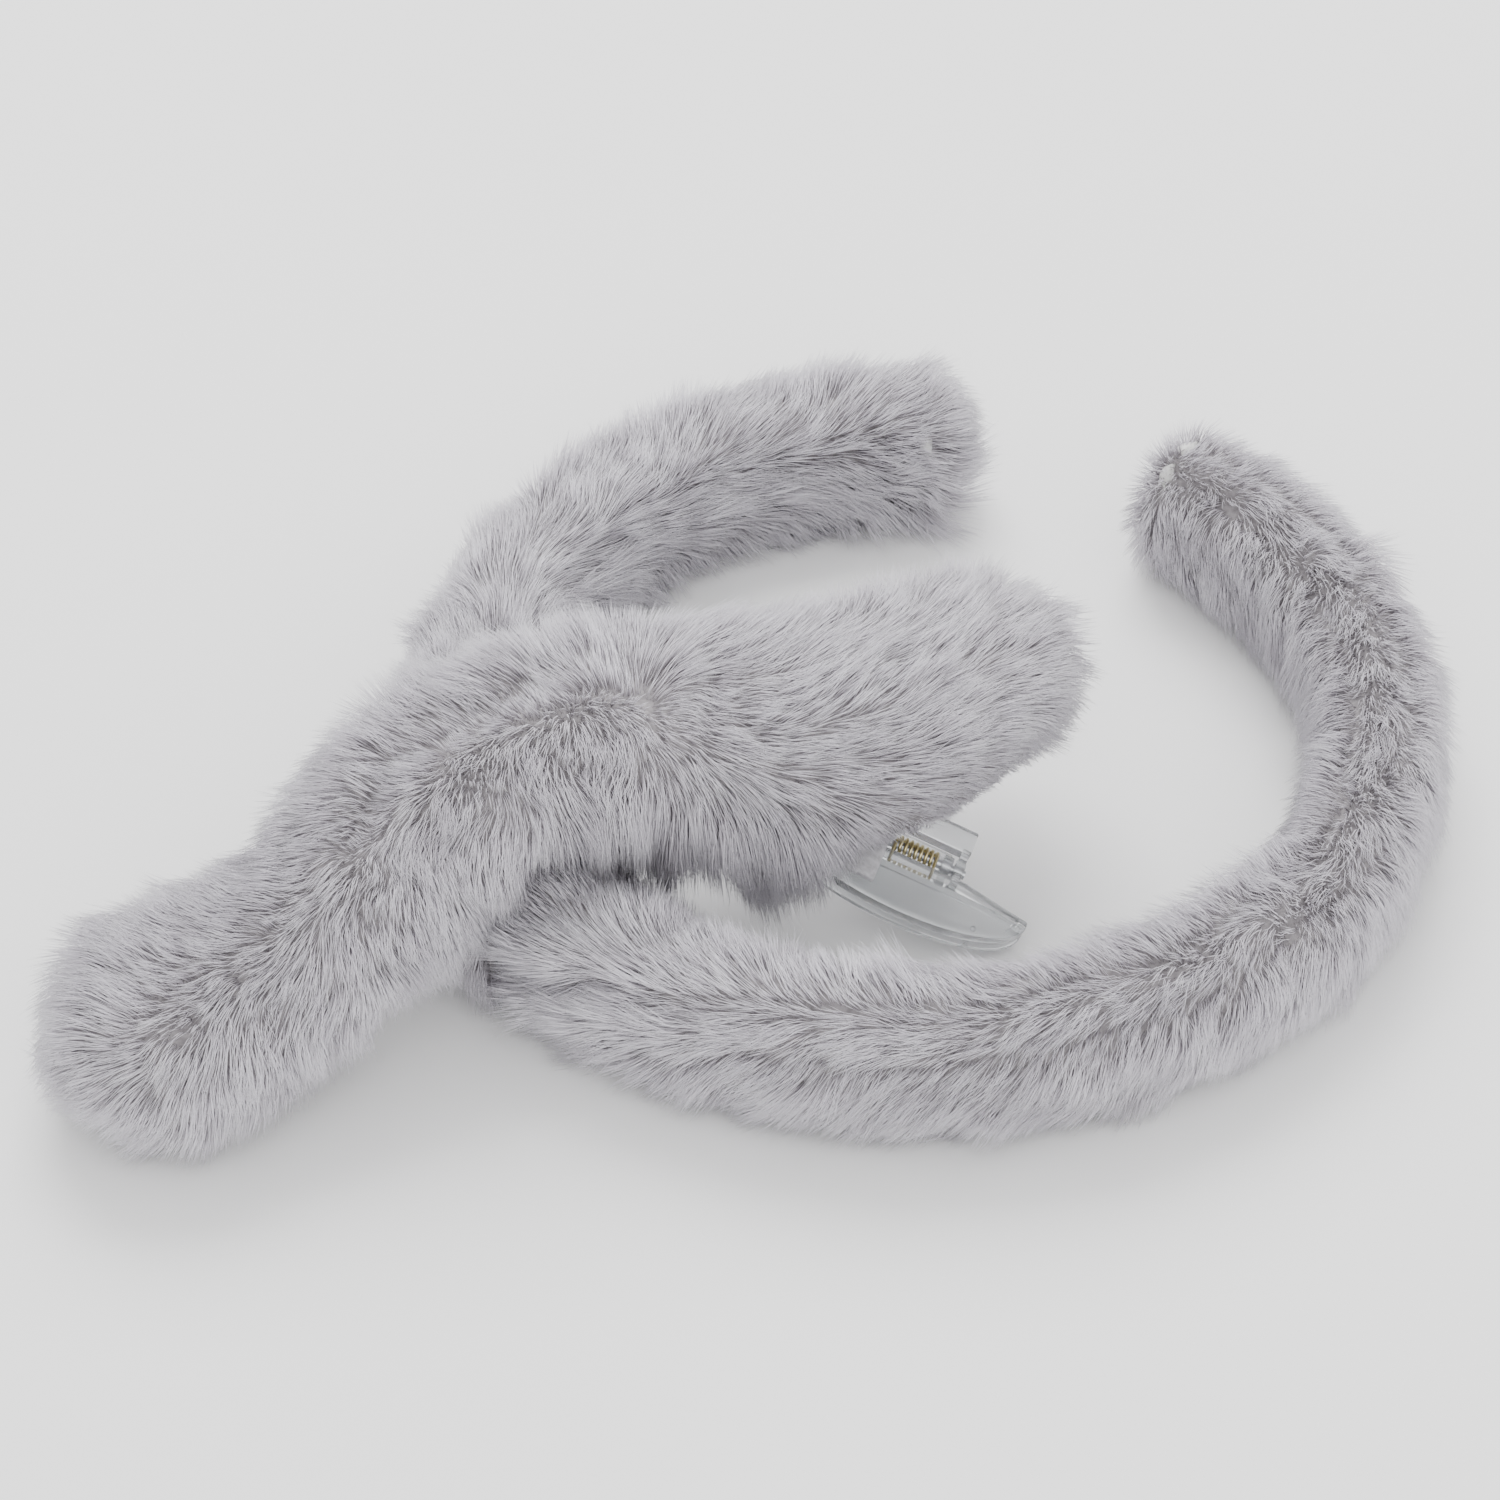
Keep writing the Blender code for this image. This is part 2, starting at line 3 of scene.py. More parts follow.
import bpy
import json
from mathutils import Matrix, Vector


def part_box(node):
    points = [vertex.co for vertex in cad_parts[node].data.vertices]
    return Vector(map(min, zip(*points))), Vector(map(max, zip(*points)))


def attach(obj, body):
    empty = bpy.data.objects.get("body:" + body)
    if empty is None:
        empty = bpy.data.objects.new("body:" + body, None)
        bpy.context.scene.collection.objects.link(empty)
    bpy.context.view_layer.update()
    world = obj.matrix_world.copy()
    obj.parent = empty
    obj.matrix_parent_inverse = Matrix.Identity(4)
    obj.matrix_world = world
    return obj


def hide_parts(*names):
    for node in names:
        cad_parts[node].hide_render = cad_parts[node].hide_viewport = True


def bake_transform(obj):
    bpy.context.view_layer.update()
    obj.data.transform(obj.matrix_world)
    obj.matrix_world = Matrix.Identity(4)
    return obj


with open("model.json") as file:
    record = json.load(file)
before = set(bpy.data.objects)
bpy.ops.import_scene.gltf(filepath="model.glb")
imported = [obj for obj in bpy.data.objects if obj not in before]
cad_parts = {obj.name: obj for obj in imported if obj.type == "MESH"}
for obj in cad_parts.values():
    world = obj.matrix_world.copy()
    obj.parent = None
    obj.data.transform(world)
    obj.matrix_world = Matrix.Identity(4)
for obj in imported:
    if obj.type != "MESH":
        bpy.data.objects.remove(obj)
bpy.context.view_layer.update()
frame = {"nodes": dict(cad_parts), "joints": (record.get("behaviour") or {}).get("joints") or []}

import json
import math

import bmesh
import bpy
import numpy as np
from mathutils import Euler, Matrix, Vector, kdtree

MM = 0.001
UP = np.array((0.0, 0.0, 1.0))
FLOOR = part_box("sleeve_left")[0].z

# Ring: the pile runs one way round it, from the right arm's tip to the left arm's
RING_RADIUS = 71 * MM
RING_CENTRE = np.array((0.0, RING_RADIUS, 0.0))
PILE_START = 71.5
PILE_END = -251.5
RIGHT_HINGE = -20
LEFT_HINGE = -160
HINGE_REACH = 6.5
ARM_DROP = 1.5 * MM
DROP_REACH = 4
BAND_HALF_WIDTH = 7.9 * MM
BAND_HALF_HEIGHT = 11.3 * MM
BAND_HEIGHT = 13 * MM
BAND_ROWS = 66
BAND_COLUMNS = 20
DOME_LENGTH = 5 * MM
DOME_ROWS = 4
DOME_RISE = (8, 82)
# How boxy every section is (2 is an ellipse), and how many rows and columns of a final surface
# stand for each one of its coarse grid
ROUNDED = 2.3
FINE = 3

# Seams of the band: two lines side by side, (ring angle, section angle) of the middle between them.
# The sleeve twists under the loop, so they run on the outer face near it and on the inner face beyond.
SEAM_PATH = (
    (75, 104),
    (22, 92),
    (-28, 68),
    (-68, 50),
    (-88, 37),
    (-106, 2),
    (-140, -85),
    (-176, -196),
    (-212, -182),
    (-255, -176),
)
SEAM_SPREAD = 22
SEAM_WANDER = 3
SEAM_DEPTH = 1.3 * MM
SEAM_WIDTH = 2.0 * MM

# Ears: (along the spoke, across it, height, half width, half thickness, roll), outer tip to inner tip
EARS_ANGLE = 225
EARS_SPINE = (
    (145.6, 13.2, 13, 0.6, 0.5, 0),
    (144.8, 13.2, 13, 4.8, 3.8, 0),
    (142, 13.2, 13, 10.5, 8, 0),
    (137, 13.2, 13.2, 15, 10.6, 0),
    (130, 13.2, 14, 17, 11.4, 0),
    (120, 12.8, 16, 16.4, 10.8, 0),
    (108, 12, 20, 14.4, 10.4, 0),
    (97, 9, 25, 15, 10.6, 0),
    (85, 4.5, 31, 16.4, 10.6, 0),
    (76, 3, 35.2, 16, 9, 0),
    (66, 2.6, 37.6, 16, 8.2, 0),
    (56, 3, 37, 16, 8.6, 0),
    (48, 4, 35, 16, 9.6, 0),
    (38, 8, 33, 16.6, 10.8, 12),
    (24, 13, 30.8, 17.6, 11, 20),
    (10, 12.6, 29.8, 17, 11, 20),
    (-2, 9, 29.4, 14.8, 10.4, 20),
    (-10, 6.6, 29, 12, 8.8, 20),
    (-15.5, 5.4, 28.8, 8, 6.4, 20),
    (-18, 4.8, 28.6, 4.2, 3.6, 20),
    (-18.9, 4.6, 28.6, 0.6, 0.5, 20),
)
# Where the pile of the ears parts: (along the spoke, section angle)
PARTING = (
    (146, 50),
    (133, 62),
    (118, 80),
    (96, 88),
    (76, 86),
    (56, 82),
    (46, 66),
    (24, 84),
    (0, 76),
    (-18, 70),
)
PARTING_WANDER = 4
WANDER_PACE = 0.21
# A furrow along the top of the saddle and the outer ear's root: (along the spoke, section angle)
FURROW = ((98, 88), (78, 95), (60, 92))
FURROW_SPAN = (57, 63, 90, 98)
FURROW_DEPTH = 1.7 * MM
FURROW_WIDTH = 2.6 * MM
FURROW_RADIUS = 14 * MM
# Along the spoke, where the pile turns from running outwards to running inwards
PILE_TURNS = 53
# Tufts that hang from the near lower edge of the inner ear: (middle along the spoke, reach)
TUFTS = ((64, 4), (54, 5), (44, 4), (33, 6))
# Along the spoke, where the pile over the clip begins to be short
CLIP_CLEARING = 25
PIT_SIZE = 7 * MM
EARS_ROWS = 40
EARS_COLUMNS = 28
SADDLE_ENDS = (83.7, 50.3)

# Loop round the band
LOOP_HALF_WIDTH = 10.4 * MM
LOOP_HALF_HEIGHT = 13.6 * MM
LOOP_RAISE = 0.1 * MM
LOOP_HALF_SPAN = 11.5
LOOP_BULGE = 3.2 * MM
LOOP_COLUMNS = 36
LOOP_ROWS = 12
LOOP_EDGE = -112

# Padding: the cloth run's air pressure, its length, how far a cover may move, how firmly it is held
# everywhere, and how far round the section, in degrees, a seam holds it
CLOTH_PRESSURE = 4
CLOTH_FRAMES = 20
CLOTH_CAP = 1.6 * MM
HELD = 0.25
SEAM_HOLD = 16

# Stuffing: how deep it lies under the cover's surface, and its lumps
BAND_BACKING = 1.3 * MM
EAR_BACKING = 4.2 * MM
STUFFING_LUMPS = 0.35 * MM
STUFFING_LUMP_SIZE = 7 * MM

# Clip, in its own frame: X from the hinge to the free edge, Y along the hinge, Z towards the ear
CLIP_TURN = (-19.3, 10.1, 49)
LEAF_HALF_LENGTH = 20 * MM
LEAF_WIDTH = 12.5 * MM
LEAF_TIP_OFFSET = 4.5 * MM
LEAF_ROOT = 2.4 * MM
LEAF_GAP = 0.15 * MM
LEAF_POINTS = 48
ROOT_POINTS = 10
# A leaf's section from its hidden face to its open one: (inset from the outline, height), in mm
LEAF_SECTION = (
    (0.55, 0.0),
    (0.2, 0.08),
    (0.0, 0.4),
    (0.0, 1.45),
    (0.12, 1.8),
    (0.42, 2.0),
    (1.0, 2.05),
    (1.5, 1.9),
    (1.75, 1.5),
    (1.95, 1.12),
    (2.4, 1.02),
)
ROOT_REACH = 9 * MM
LEAF_THICKNESS = 2 * MM
KNUCKLE_RADIUS = 1.8 * MM
KNUCKLE_LENGTH = 1.6 * MM
BASE_KNUCKLE = 7.2 * MM
LID_KNUCKLE = 5.2 * MM
KNUCKLE_SHARE = 0.8
LUG_LAP = 0.8 * MM
LUG_INSET = 0.2 * MM
LUG_ROUNDING = 0.15 * MM
STUD_PLACE = (0.78, 0.62)
STUD_RADIUS = 0.5 * MM
LEVER_LENGTH = 4.5 * MM
LEVER_ROUNDING = 0.35 * MM
LID_LEVER_ANGLE = 35
COIL_RADIUS = 1.4 * MM
COIL_WIRE = 0.27 * MM
COIL_TURNS = 8
COIL_PITCH = 0.85 * MM
COIL_POINTS = 28
COIL_LEG = (0.4, 4.2)
COIL_LEG_POINTS = 8
PAD_SIZE = (8 * MM, 9 * MM, 1.1 * MM)
PAD_PLACE = (6 * MM, -9 * MM, 3 * MM)
PAD_CUTS = 14
PAD_EASE = 0.35
PAD_LUMPS = 0.06 * MM
PAD_LUMP_SIZE = 2.2 * MM

# Pile: a strand has this many sides, rings at these shares of its length, and this taper
SIDES = 3
RINGS = (0.0, 0.5)
TAPER = (1.0, 0.85)
ROOT_SINK = 0.9 * MM
DENSITY = 4.6
STRAND_WIDTH = 0.15 * MM
STRAND_STRAY = 0.22
LEAN_STRAY = 0.09
LENGTH_STRAY = (0.72, 1.12)
TONE_STRAY = 0.14
STRANDS_PER_PIECE = 19000
FLOOR_GAP = 0.1 * MM
# A direction that no strand follows, from which its sides are counted
ODD_DIRECTION = (0.31, 0.53, 0.79)
# Length, and lean from the surface's normal in degrees, where nothing changes them
BAND_LENGTH, BAND_LEAN = 8.6 * MM, 62
EARS_LENGTH, EARS_LEAN = 9.4 * MM, 60
LOOP_LENGTH, LOOP_LEAN = 10 * MM, 55
# How the pile wanders over the surface: (amount, wavelength)
SWIRL = (0.32, 16 * MM)
SMALL_SWIRL = (0.2, 6 * MM)
LEAN_WANDER = (0.16, 9 * MM)
LENGTH_WANDER = (0.14, 8 * MM)
TONE_WANDER = (0.22, 7 * MM)
# How a strand droops, and how its lean grows from root to tip
DROOP = 0.10
BEND = 0.62
# Clumps: (strands in each, how far they are drawn together)
LARGE_CLUMP = (46, 0.24)
SMALL_CLUMP = (8, 0.22)
TUFT_CLUMP = (46, 0.3)
CLUMP_CURVE = 1.3

# Seeds of the random draws
BAND_SEED, BAND_COMB_SEED, BAND_TONE_SEED = 100, 200, 400
EARS_SEED, TUFT_SEED, EARS_COMB_SEED, EARS_TONE_SEED = 500, 550, 600, 800
LOOP_SEED, LOOP_COMB_SEED, LOOP_TONE_SEED = 900, 910, 930
LUMP_SEED, PIT_SEED, FELT_SEED = 41, 61, 77

# Colours, linear: along a strand from root to tip, darkened towards the root as painted shade deep in
# the pile, and from the darkest strand to the palest
STRAND_RAMP_WITH_ROOT_SHADE = (
    (0.0, (0.33, 0.30, 0.32)),
    (0.35, (0.66, 0.63, 0.67)),
    (0.75, (0.86, 0.84, 0.89)),
    (1.0, (0.93, 0.92, 0.96)),
)
TONE_SHADES = (
    (0.0, (0.78, 0.76, 0.78)),
    (0.5, (0.95, 0.94, 0.96)),
    (1.0, (1.0, 1.0, 1.0)),
)

# Stage: (name, place, size, power) of each light, and the camera at the photo's viewing angle
FLOOR_SIZE = 6
FLOOR_PLACE = (0, 0.07)
WORLD_STRENGTH = 1.2
LIGHTS = (
    ("key", (-0.35, 0.75, 1.1), 0.9, 20),
    ("fill", (0.5, -0.7, 0.8), 1.2, 9),
)
LIGHT_TARGET = (0, 0.06, 0.01)
CAMERA_LENS = 138.5
CAMERA_SENSOR = 36
CAMERA_AZIMUTH = 20
CAMERA_ELEVATION = 42.5
CAMERA_TARGET = (-0.0241, 0.0597, 0.0099)
CAMERA_DISTANCE = 0.9


def clamp01(value):
    return np.clip(value, 0.0, 1.0)


def smoothstep(value, start, end):
    t = clamp01((value - start) / (end - start))
    return t * t * (3 - 2 * t)


def unit(vectors):
    return vectors / np.maximum(np.linalg.norm(vectors, axis=-1, keepdims=True), 1e-9)


def near(distance, reach):
    """1 at no distance, falling to almost 0 at twice the reach."""
    return np.exp(-((distance / reach) ** 2))


def boxed(value):
    """A cosine or sine made boxier, so that a section lies between an ellipse and a box."""
    return np.sign(value) * np.abs(value) ** (2 / ROUNDED)


def ripple(points, wavelength, seed, waves=7):
    """A smooth value between about -1 and 1 that wanders over space, with no repeat."""
    draw = np.random.default_rng(seed)
    directions = unit(draw.normal(size=(waves, 3)))
    pace = 2 * math.pi / (wavelength * draw.uniform(0.7, 1.5, waves))
    phase = draw.uniform(0, 2 * math.pi, waves)
    total = np.sin(points @ (directions * pace[:, None]).T + phase).sum(axis=-1)
    return total / math.sqrt(waves)


def wander(points, setting, seed):
    amount, wavelength = setting
    return amount * ripple(points, wavelength, seed)


# Surfaces: grids of points, rows along the pile and columns round the section


def ring_spoke(angle):
    """The direction from the ring's centre at an angle, in degrees."""
    turn = np.radians(angle)
    return np.stack((np.cos(turn), np.sin(turn), np.zeros_like(turn)), axis=-1)


def arm_drop(angle):
    """How far the band lies below the crown's height: the arms rest a little lower."""
    past_right = smoothstep(angle, RIGHT_HINGE - DROP_REACH, RIGHT_HINGE + DROP_REACH)
    past_left = smoothstep(-angle, -LEFT_HINGE - DROP_REACH, -LEFT_HINGE + DROP_REACH)
    return ARM_DROP * np.maximum(past_right, past_left)


def along_path(path, place, sway=0.0):
    """The second value of a list of pairs at a place along the first, swaying a little."""
    pairs = np.array(sorted(path), float)
    return np.interp(place, pairs[:, 0], pairs[:, 1]) + sway * np.sin(place * WANDER_PACE)


def section_angles(columns):
    return np.arange(columns) * 360 / columns


def nearest_row(values, place):
    return int(np.argmin(np.abs(values - place)))


def full_turn(angle):
    """The same angle between -180 and 180 degrees."""
    return (angle + 180) % 360 - 180


def seam_offsets(row_angle, column_angle):
    """Signed section angles, in degrees, from each of the band's two seams."""
    middle = along_path(SEAM_PATH, row_angle, SEAM_WANDER)
    return [full_turn(column_angle - middle - side * SEAM_SPREAD) for side in (-1, 1)]


def band_grid(rows, columns):
    """The sleeve's surface from the right arm's tip to the left arm's, domed at both ends."""
    cap = math.degrees(DOME_LENGTH / RING_RADIUS)
    body = np.linspace(PILE_START, PILE_END, rows)
    rise = np.radians(np.linspace(*DOME_RISE, DOME_ROWS))
    start = PILE_START + cap * np.sin(rise[::-1])
    end = PILE_END - cap * np.sin(rise)
    angles = np.concatenate((start, body, end))
    size = np.concatenate((np.cos(rise[::-1]), np.ones(rows), np.cos(rise)))
    around = np.radians(section_angles(columns))
    out = BAND_HALF_WIDTH * boxed(np.cos(around))
    up = BAND_HALF_HEIGHT * boxed(np.sin(around))
    height = BAND_HEIGHT - arm_drop(angles)
    reach = RING_RADIUS + size[:, None] * out[None, :]
    rise_to = height[:, None] + size[:, None] * up[None, :]
    grid = RING_CENTRE + ring_spoke(angles)[:, None, :] * reach[:, :, None]
    return grid + UP * rise_to[:, :, None], angles


def catmull_rom(values, count):
    """Rows of values resampled on a smooth curve through them."""
    values = np.asarray(values, float)
    where = np.linspace(0, len(values) - 1, count)
    low = np.minimum(where.astype(int), len(values) - 2)
    t = (where - low).reshape((-1,) + (1,) * (values.ndim - 1))
    before = values[np.maximum(low - 1, 0)]
    start = values[low]
    end = values[low + 1]
    after = values[np.minimum(low + 2, len(values) - 1)]
    return 0.5 * (
        2 * start
        + (end - before) * t
        + (2 * before - 5 * start + 4 * end - after) * t**2
        + (3 * start - before - 3 * end + after) * t**3
    )


def refine(grid):
    """The same surface with more rows and columns, smooth both ways."""
    rows = catmull_rom(grid, (len(grid) - 1) * FINE + 1)
    wrapped = np.concatenate((rows[:, -1:], rows, rows[:, :2]), axis=1)
    turned = catmull_rom(wrapped.swapaxes(0, 1), (wrapped.shape[1] - 1) * FINE + 1)
    kept = turned[FINE : FINE * (grid.shape[1] + 1)]
    return kept.swapaxes(0, 1)


def slide_to_world(points):
    """World places of points given along the ears' spoke, across it, and up."""
    turn = math.radians(EARS_ANGLE)
    across = np.array((-math.sin(turn), math.cos(turn), 0.0))
    spoke = np.array((math.cos(turn), math.sin(turn), 0.0))
    return RING_CENTRE + points[..., :1] * spoke + points[..., 1:2] * across + points[..., 2:] * UP


def ears_grid(rows, columns):
    """The surface of both ears and the saddle, from the outer ear's tip to the inner ear's."""
    spine = catmull_rom(EARS_SPINE, rows)
    place = spine[:, :3] * MM
    along = unit(np.gradient(place, axis=0))
    across = unit(np.cross(along, UP))
    through = np.cross(across, along)
    roll = np.radians(spine[:, 5])[:, None]
    turned = across * np.cos(roll) + np.cross(along, across) * np.sin(roll)
    upright = through * np.cos(roll) + np.cross(along, through) * np.sin(roll)
    around = np.radians(section_angles(columns))
    wide = spine[:, 3:4] * MM * boxed(np.cos(around))
    thick = spine[:, 4:5] * MM * boxed(np.sin(around))
    points = place[:, None] + turned[:, None] * wide[..., None] + upright[:, None] * thick[..., None]
    return slide_to_world(points), spine[:, 0]


def loop_grid(rows, columns):
    """The wrap round the band: rows run along the ring, bulging in the middle."""
    angle = EARS_ANGLE - 360 + np.linspace(LOOP_HALF_SPAN, -LOOP_HALF_SPAN, rows)
    bulge = LOOP_BULGE * np.sqrt(1 - np.linspace(-0.98, 0.98, rows) ** 2)
    around = np.radians(section_angles(columns))
    grow = bulge[:, None] * (0.35 + 0.65 * (np.sin(around) > -0.6))[None, :]
    half_width = LOOP_HALF_WIDTH + grow
    half_height = LOOP_HALF_HEIGHT + 0.3 * grow
    reach = RING_RADIUS + half_width * boxed(np.cos(around))
    rise = BAND_HEIGHT + LOOP_RAISE + half_height * boxed(np.sin(around))
    grid = RING_CENTRE + ring_spoke(angle)[:, None, :] * reach[:, :, None]
    return grid + UP * rise[:, :, None]


def grid_faces(rows, columns):
    """Quads of a closed tube, with a face over each end."""
    i, j = np.meshgrid(np.arange(rows - 1), np.arange(columns), indexing="ij")
    after = (j + 1) % columns
    quads = np.stack(
        (i * columns + j, (i + 1) * columns + j, (i + 1) * columns + after, i * columns + after),
        axis=-1,
    ).reshape(-1, 4)
    first = tuple(range(columns))
    last = tuple(range((rows - 1) * columns, rows * columns))
    return [tuple(q) for q in quads.tolist()] + [first, last[::-1]]


def grid_object(name, grid):
    rows, columns = grid.shape[:2]
    mesh = bpy.data.meshes.new(name)
    mesh.from_pydata(grid.reshape(-1, 3).tolist(), [], grid_faces(rows, columns))
    bm = bmesh.new()
    bm.from_mesh(mesh)
    bmesh.ops.recalc_face_normals(bm, faces=bm.faces)
    bm.to_mesh(mesh)
    bm.free()
    mesh.shade_smooth()
    return link(bpy.data.objects.new(name, mesh))


def link(thing):
    bpy.context.scene.collection.objects.link(thing)
    return thing


def blow_up(grid, held):
    """The grid after a cloth simulation with air pressure in it, which eases it very slightly.
    """
    cover = grid_object("padding_trial", grid)
    pins = cover.vertex_groups.new(name="held")
    for index, weight in enumerate(held.ravel().tolist()):
        pins.add([index], weight, "REPLACE")
    cloth = cover.modifiers.new("padding", "CLOTH")
    cloth.settings.use_pressure = True
    cloth.settings.uniform_pressure_force = CLOTH_PRESSURE
    cloth.settings.effector_weights.gravity = 0
    cloth.settings.vertex_group_mass = "held"
    cloth.point_cache.frame_start = 1
    cloth.point_cache.frame_end = CLOTH_FRAMES
    for step in range(1, CLOTH_FRAMES + 1):
        bpy.context.scene.frame_set(step)
    swollen = cover.evaluated_get(bpy.context.evaluated_depsgraph_get())
    points = np.array([v.co for v in swollen.data.vertices]).reshape(grid.shape)
    bpy.context.scene.frame_set(1)
    bpy.data.objects.remove(cover, do_unlink=True)
    move = points - grid
    far = np.linalg.norm(move, axis=-1, keepdims=True)
    return grid + move * np.minimum(1, CLOTH_CAP / np.maximum(far, 1e-9))


def grid_frames(grid):
    """Unit directions along the rows and round the section, and the outward normal."""
    along = np.gradient(grid, axis=0)
    around = np.roll(grid, -1, axis=1) - np.roll(grid, 1, axis=1)
    normal = unit(np.cross(around, along))
    outward = np.sum(normal * (grid - grid.mean(axis=1, keepdims=True)), axis=-1).mean()
    return unit(along), unit(around), normal * math.copysign(1, outward)


def sink_seams(grid, lines, depth, width):
    """Pulls the surface in along seam lines; lines holds signed distances from each seam."""
    normal = grid_frames(grid)[2]
    sink = sum(near(line, width) for line in lines)
    return grid - normal * (depth * np.minimum(sink, 1))[..., None]


def stuffing(name, grid, rows, backing, material):
    """The wadding inside a cover: the cover's own shape, smaller by the backing and a little lumpy."""
    span = slice(rows[0], rows[1] + 1)
    inset = grid[span] - grid_frames(grid)[2][span] * backing
    middle = inset.mean(axis=1, keepdims=True)
    lumps = np.abs(ripple(inset, STUFFING_LUMP_SIZE, LUMP_SEED))[..., None]
    lumps = 1 - lumps * STUFFING_LUMPS / BAND_HALF_WIDTH
    return paint(grid_object(name, middle + (inset - middle) * lumps), material)


# Pile


class Pile:
    """Roots of strands spread evenly over a grid, with the surface's directions at each root."""

    def __init__(self, grid, seed, rows=None):
        self.draw = np.random.default_rng(seed)
        first, last = rows or (0, len(grid) - 1)
        directions = grid_frames(grid)
        down = grid[first + 1 : last + 1] - grid[first:last]
        side = np.roll(grid, -1, axis=1)[first:last] - grid[first:last]
        area = np.linalg.norm(np.cross(down, side), axis=-1)
        count = int(area.sum() / MM**2 * DENSITY)
        share = (area / area.sum()).ravel()
        cell = self.draw.choice(area.size, count, p=share)
        self.row = first + cell // grid.shape[1] + self.draw.random(count)
        self.column = cell % grid.shape[1] + self.draw.random(count)
        self.root = self.sample(grid)
        self.along, self.around, self.normal = (unit(self.sample(d)) for d in directions)
        self.section = self.column / grid.shape[1] * 360
        self.count = count

    def keep(self, chosen):
        """Drops every root but the chosen ones."""
        for name in ("row", "column", "root", "along", "around", "normal", "section"):
            setattr(self, name, getattr(self, name)[chosen])
        self.count = int(chosen.sum())

    def sample(self, values):
        """The values of a grid at the roots, between its rows and columns."""
        row = np.minimum(self.row.astype(int), len(values) - 2)
        column = self.column.astype(int) % values.shape[1]
        after = (column + 1) % values.shape[1]
        a = (self.row - row)[:, None]
        b = (self.column - self.column.astype(int))[:, None]
        flat = values.reshape(values.shape[0], values.shape[1], -1)
        before = flat[row, column] * (1 - b) + flat[row, after] * b
        behind = flat[row + 1, column] * (1 - b) + flat[row + 1, after] * b
        return before * (1 - a) + behind * a

    def row_value(self, values):
        """The values of a list of rows at the roots."""
        low = np.minimum(self.row.astype(int), len(values) - 2)
        share = self.row - low
        return values[low] * (1 - share) + values[low + 1] * share


def comb(pile, flow, length, lean, seed, hang=0.0):
    """The path of each strand: up from its root, then laid over along the flow and drooping."""
    draw = pile.draw
    count = pile.count
    turn = wander(pile.root, SWIRL, seed) + wander(pile.root, SMALL_SWIRL, seed + 1)
    turn = turn + draw.normal(0, STRAND_STRAY, count)
    side = unit(np.cross(pile.normal, flow))
    flow = unit(flow * np.cos(turn)[:, None] + side * np.sin(turn)[:, None])
    lean = lean + wander(pile.root, LEAN_WANDER, seed + 2) + draw.normal(0, LEAN_STRAY, count)
    length = length * (1 + wander(pile.root, LENGTH_WANDER, seed + 3))
    length = length * draw.uniform(*LENGTH_STRAY, count)
    steps = np.diff((*RINGS, 1.0))
    path = [pile.root - pile.normal * ROOT_SINK]
    for index, step in enumerate(steps):
        bend = lean * (BEND + BEND * (index + 0.5) / len(steps))
        heading = pile.normal * np.cos(bend)[:, None] + flow * np.sin(bend)[:, None]
        pull = (DROOP + hang) * (index + 1) / len(steps)
        heading = unit(heading - UP * np.broadcast_to(pull, count)[:, None])
        path.append(path[-1] + heading * (length * step)[:, None])
    return np.stack(path, axis=1)


def gather(path, pile, size, pull):
    """Draws strands into tufts: each leans towards the nearest of some chosen strands at its tip."""
    chosen = pile.draw.permutation(pile.count)[::size]
    tree = kdtree.KDTree(len(chosen))
    for index, root in enumerate(path[chosen, 0].tolist()):
        tree.insert(root, index)
    tree.balance()
    nearest = np.array([tree.find(root)[1] for root in path[:, 0].tolist()])
    leader = path[chosen[nearest]]
    reach = np.array((*RINGS, 1.0))
    share = pull * reach**CLUMP_CURVE
    amount = share[None, :, None] * pile.draw.uniform(0.5, 1.0, pile.count)[:, None, None]
    return path * (1 - amount) + leader * amount


def keep_above_floor(path):
    path[..., 2] = np.maximum(path[..., 2], FLOOR + FLOOR_GAP)
    return path


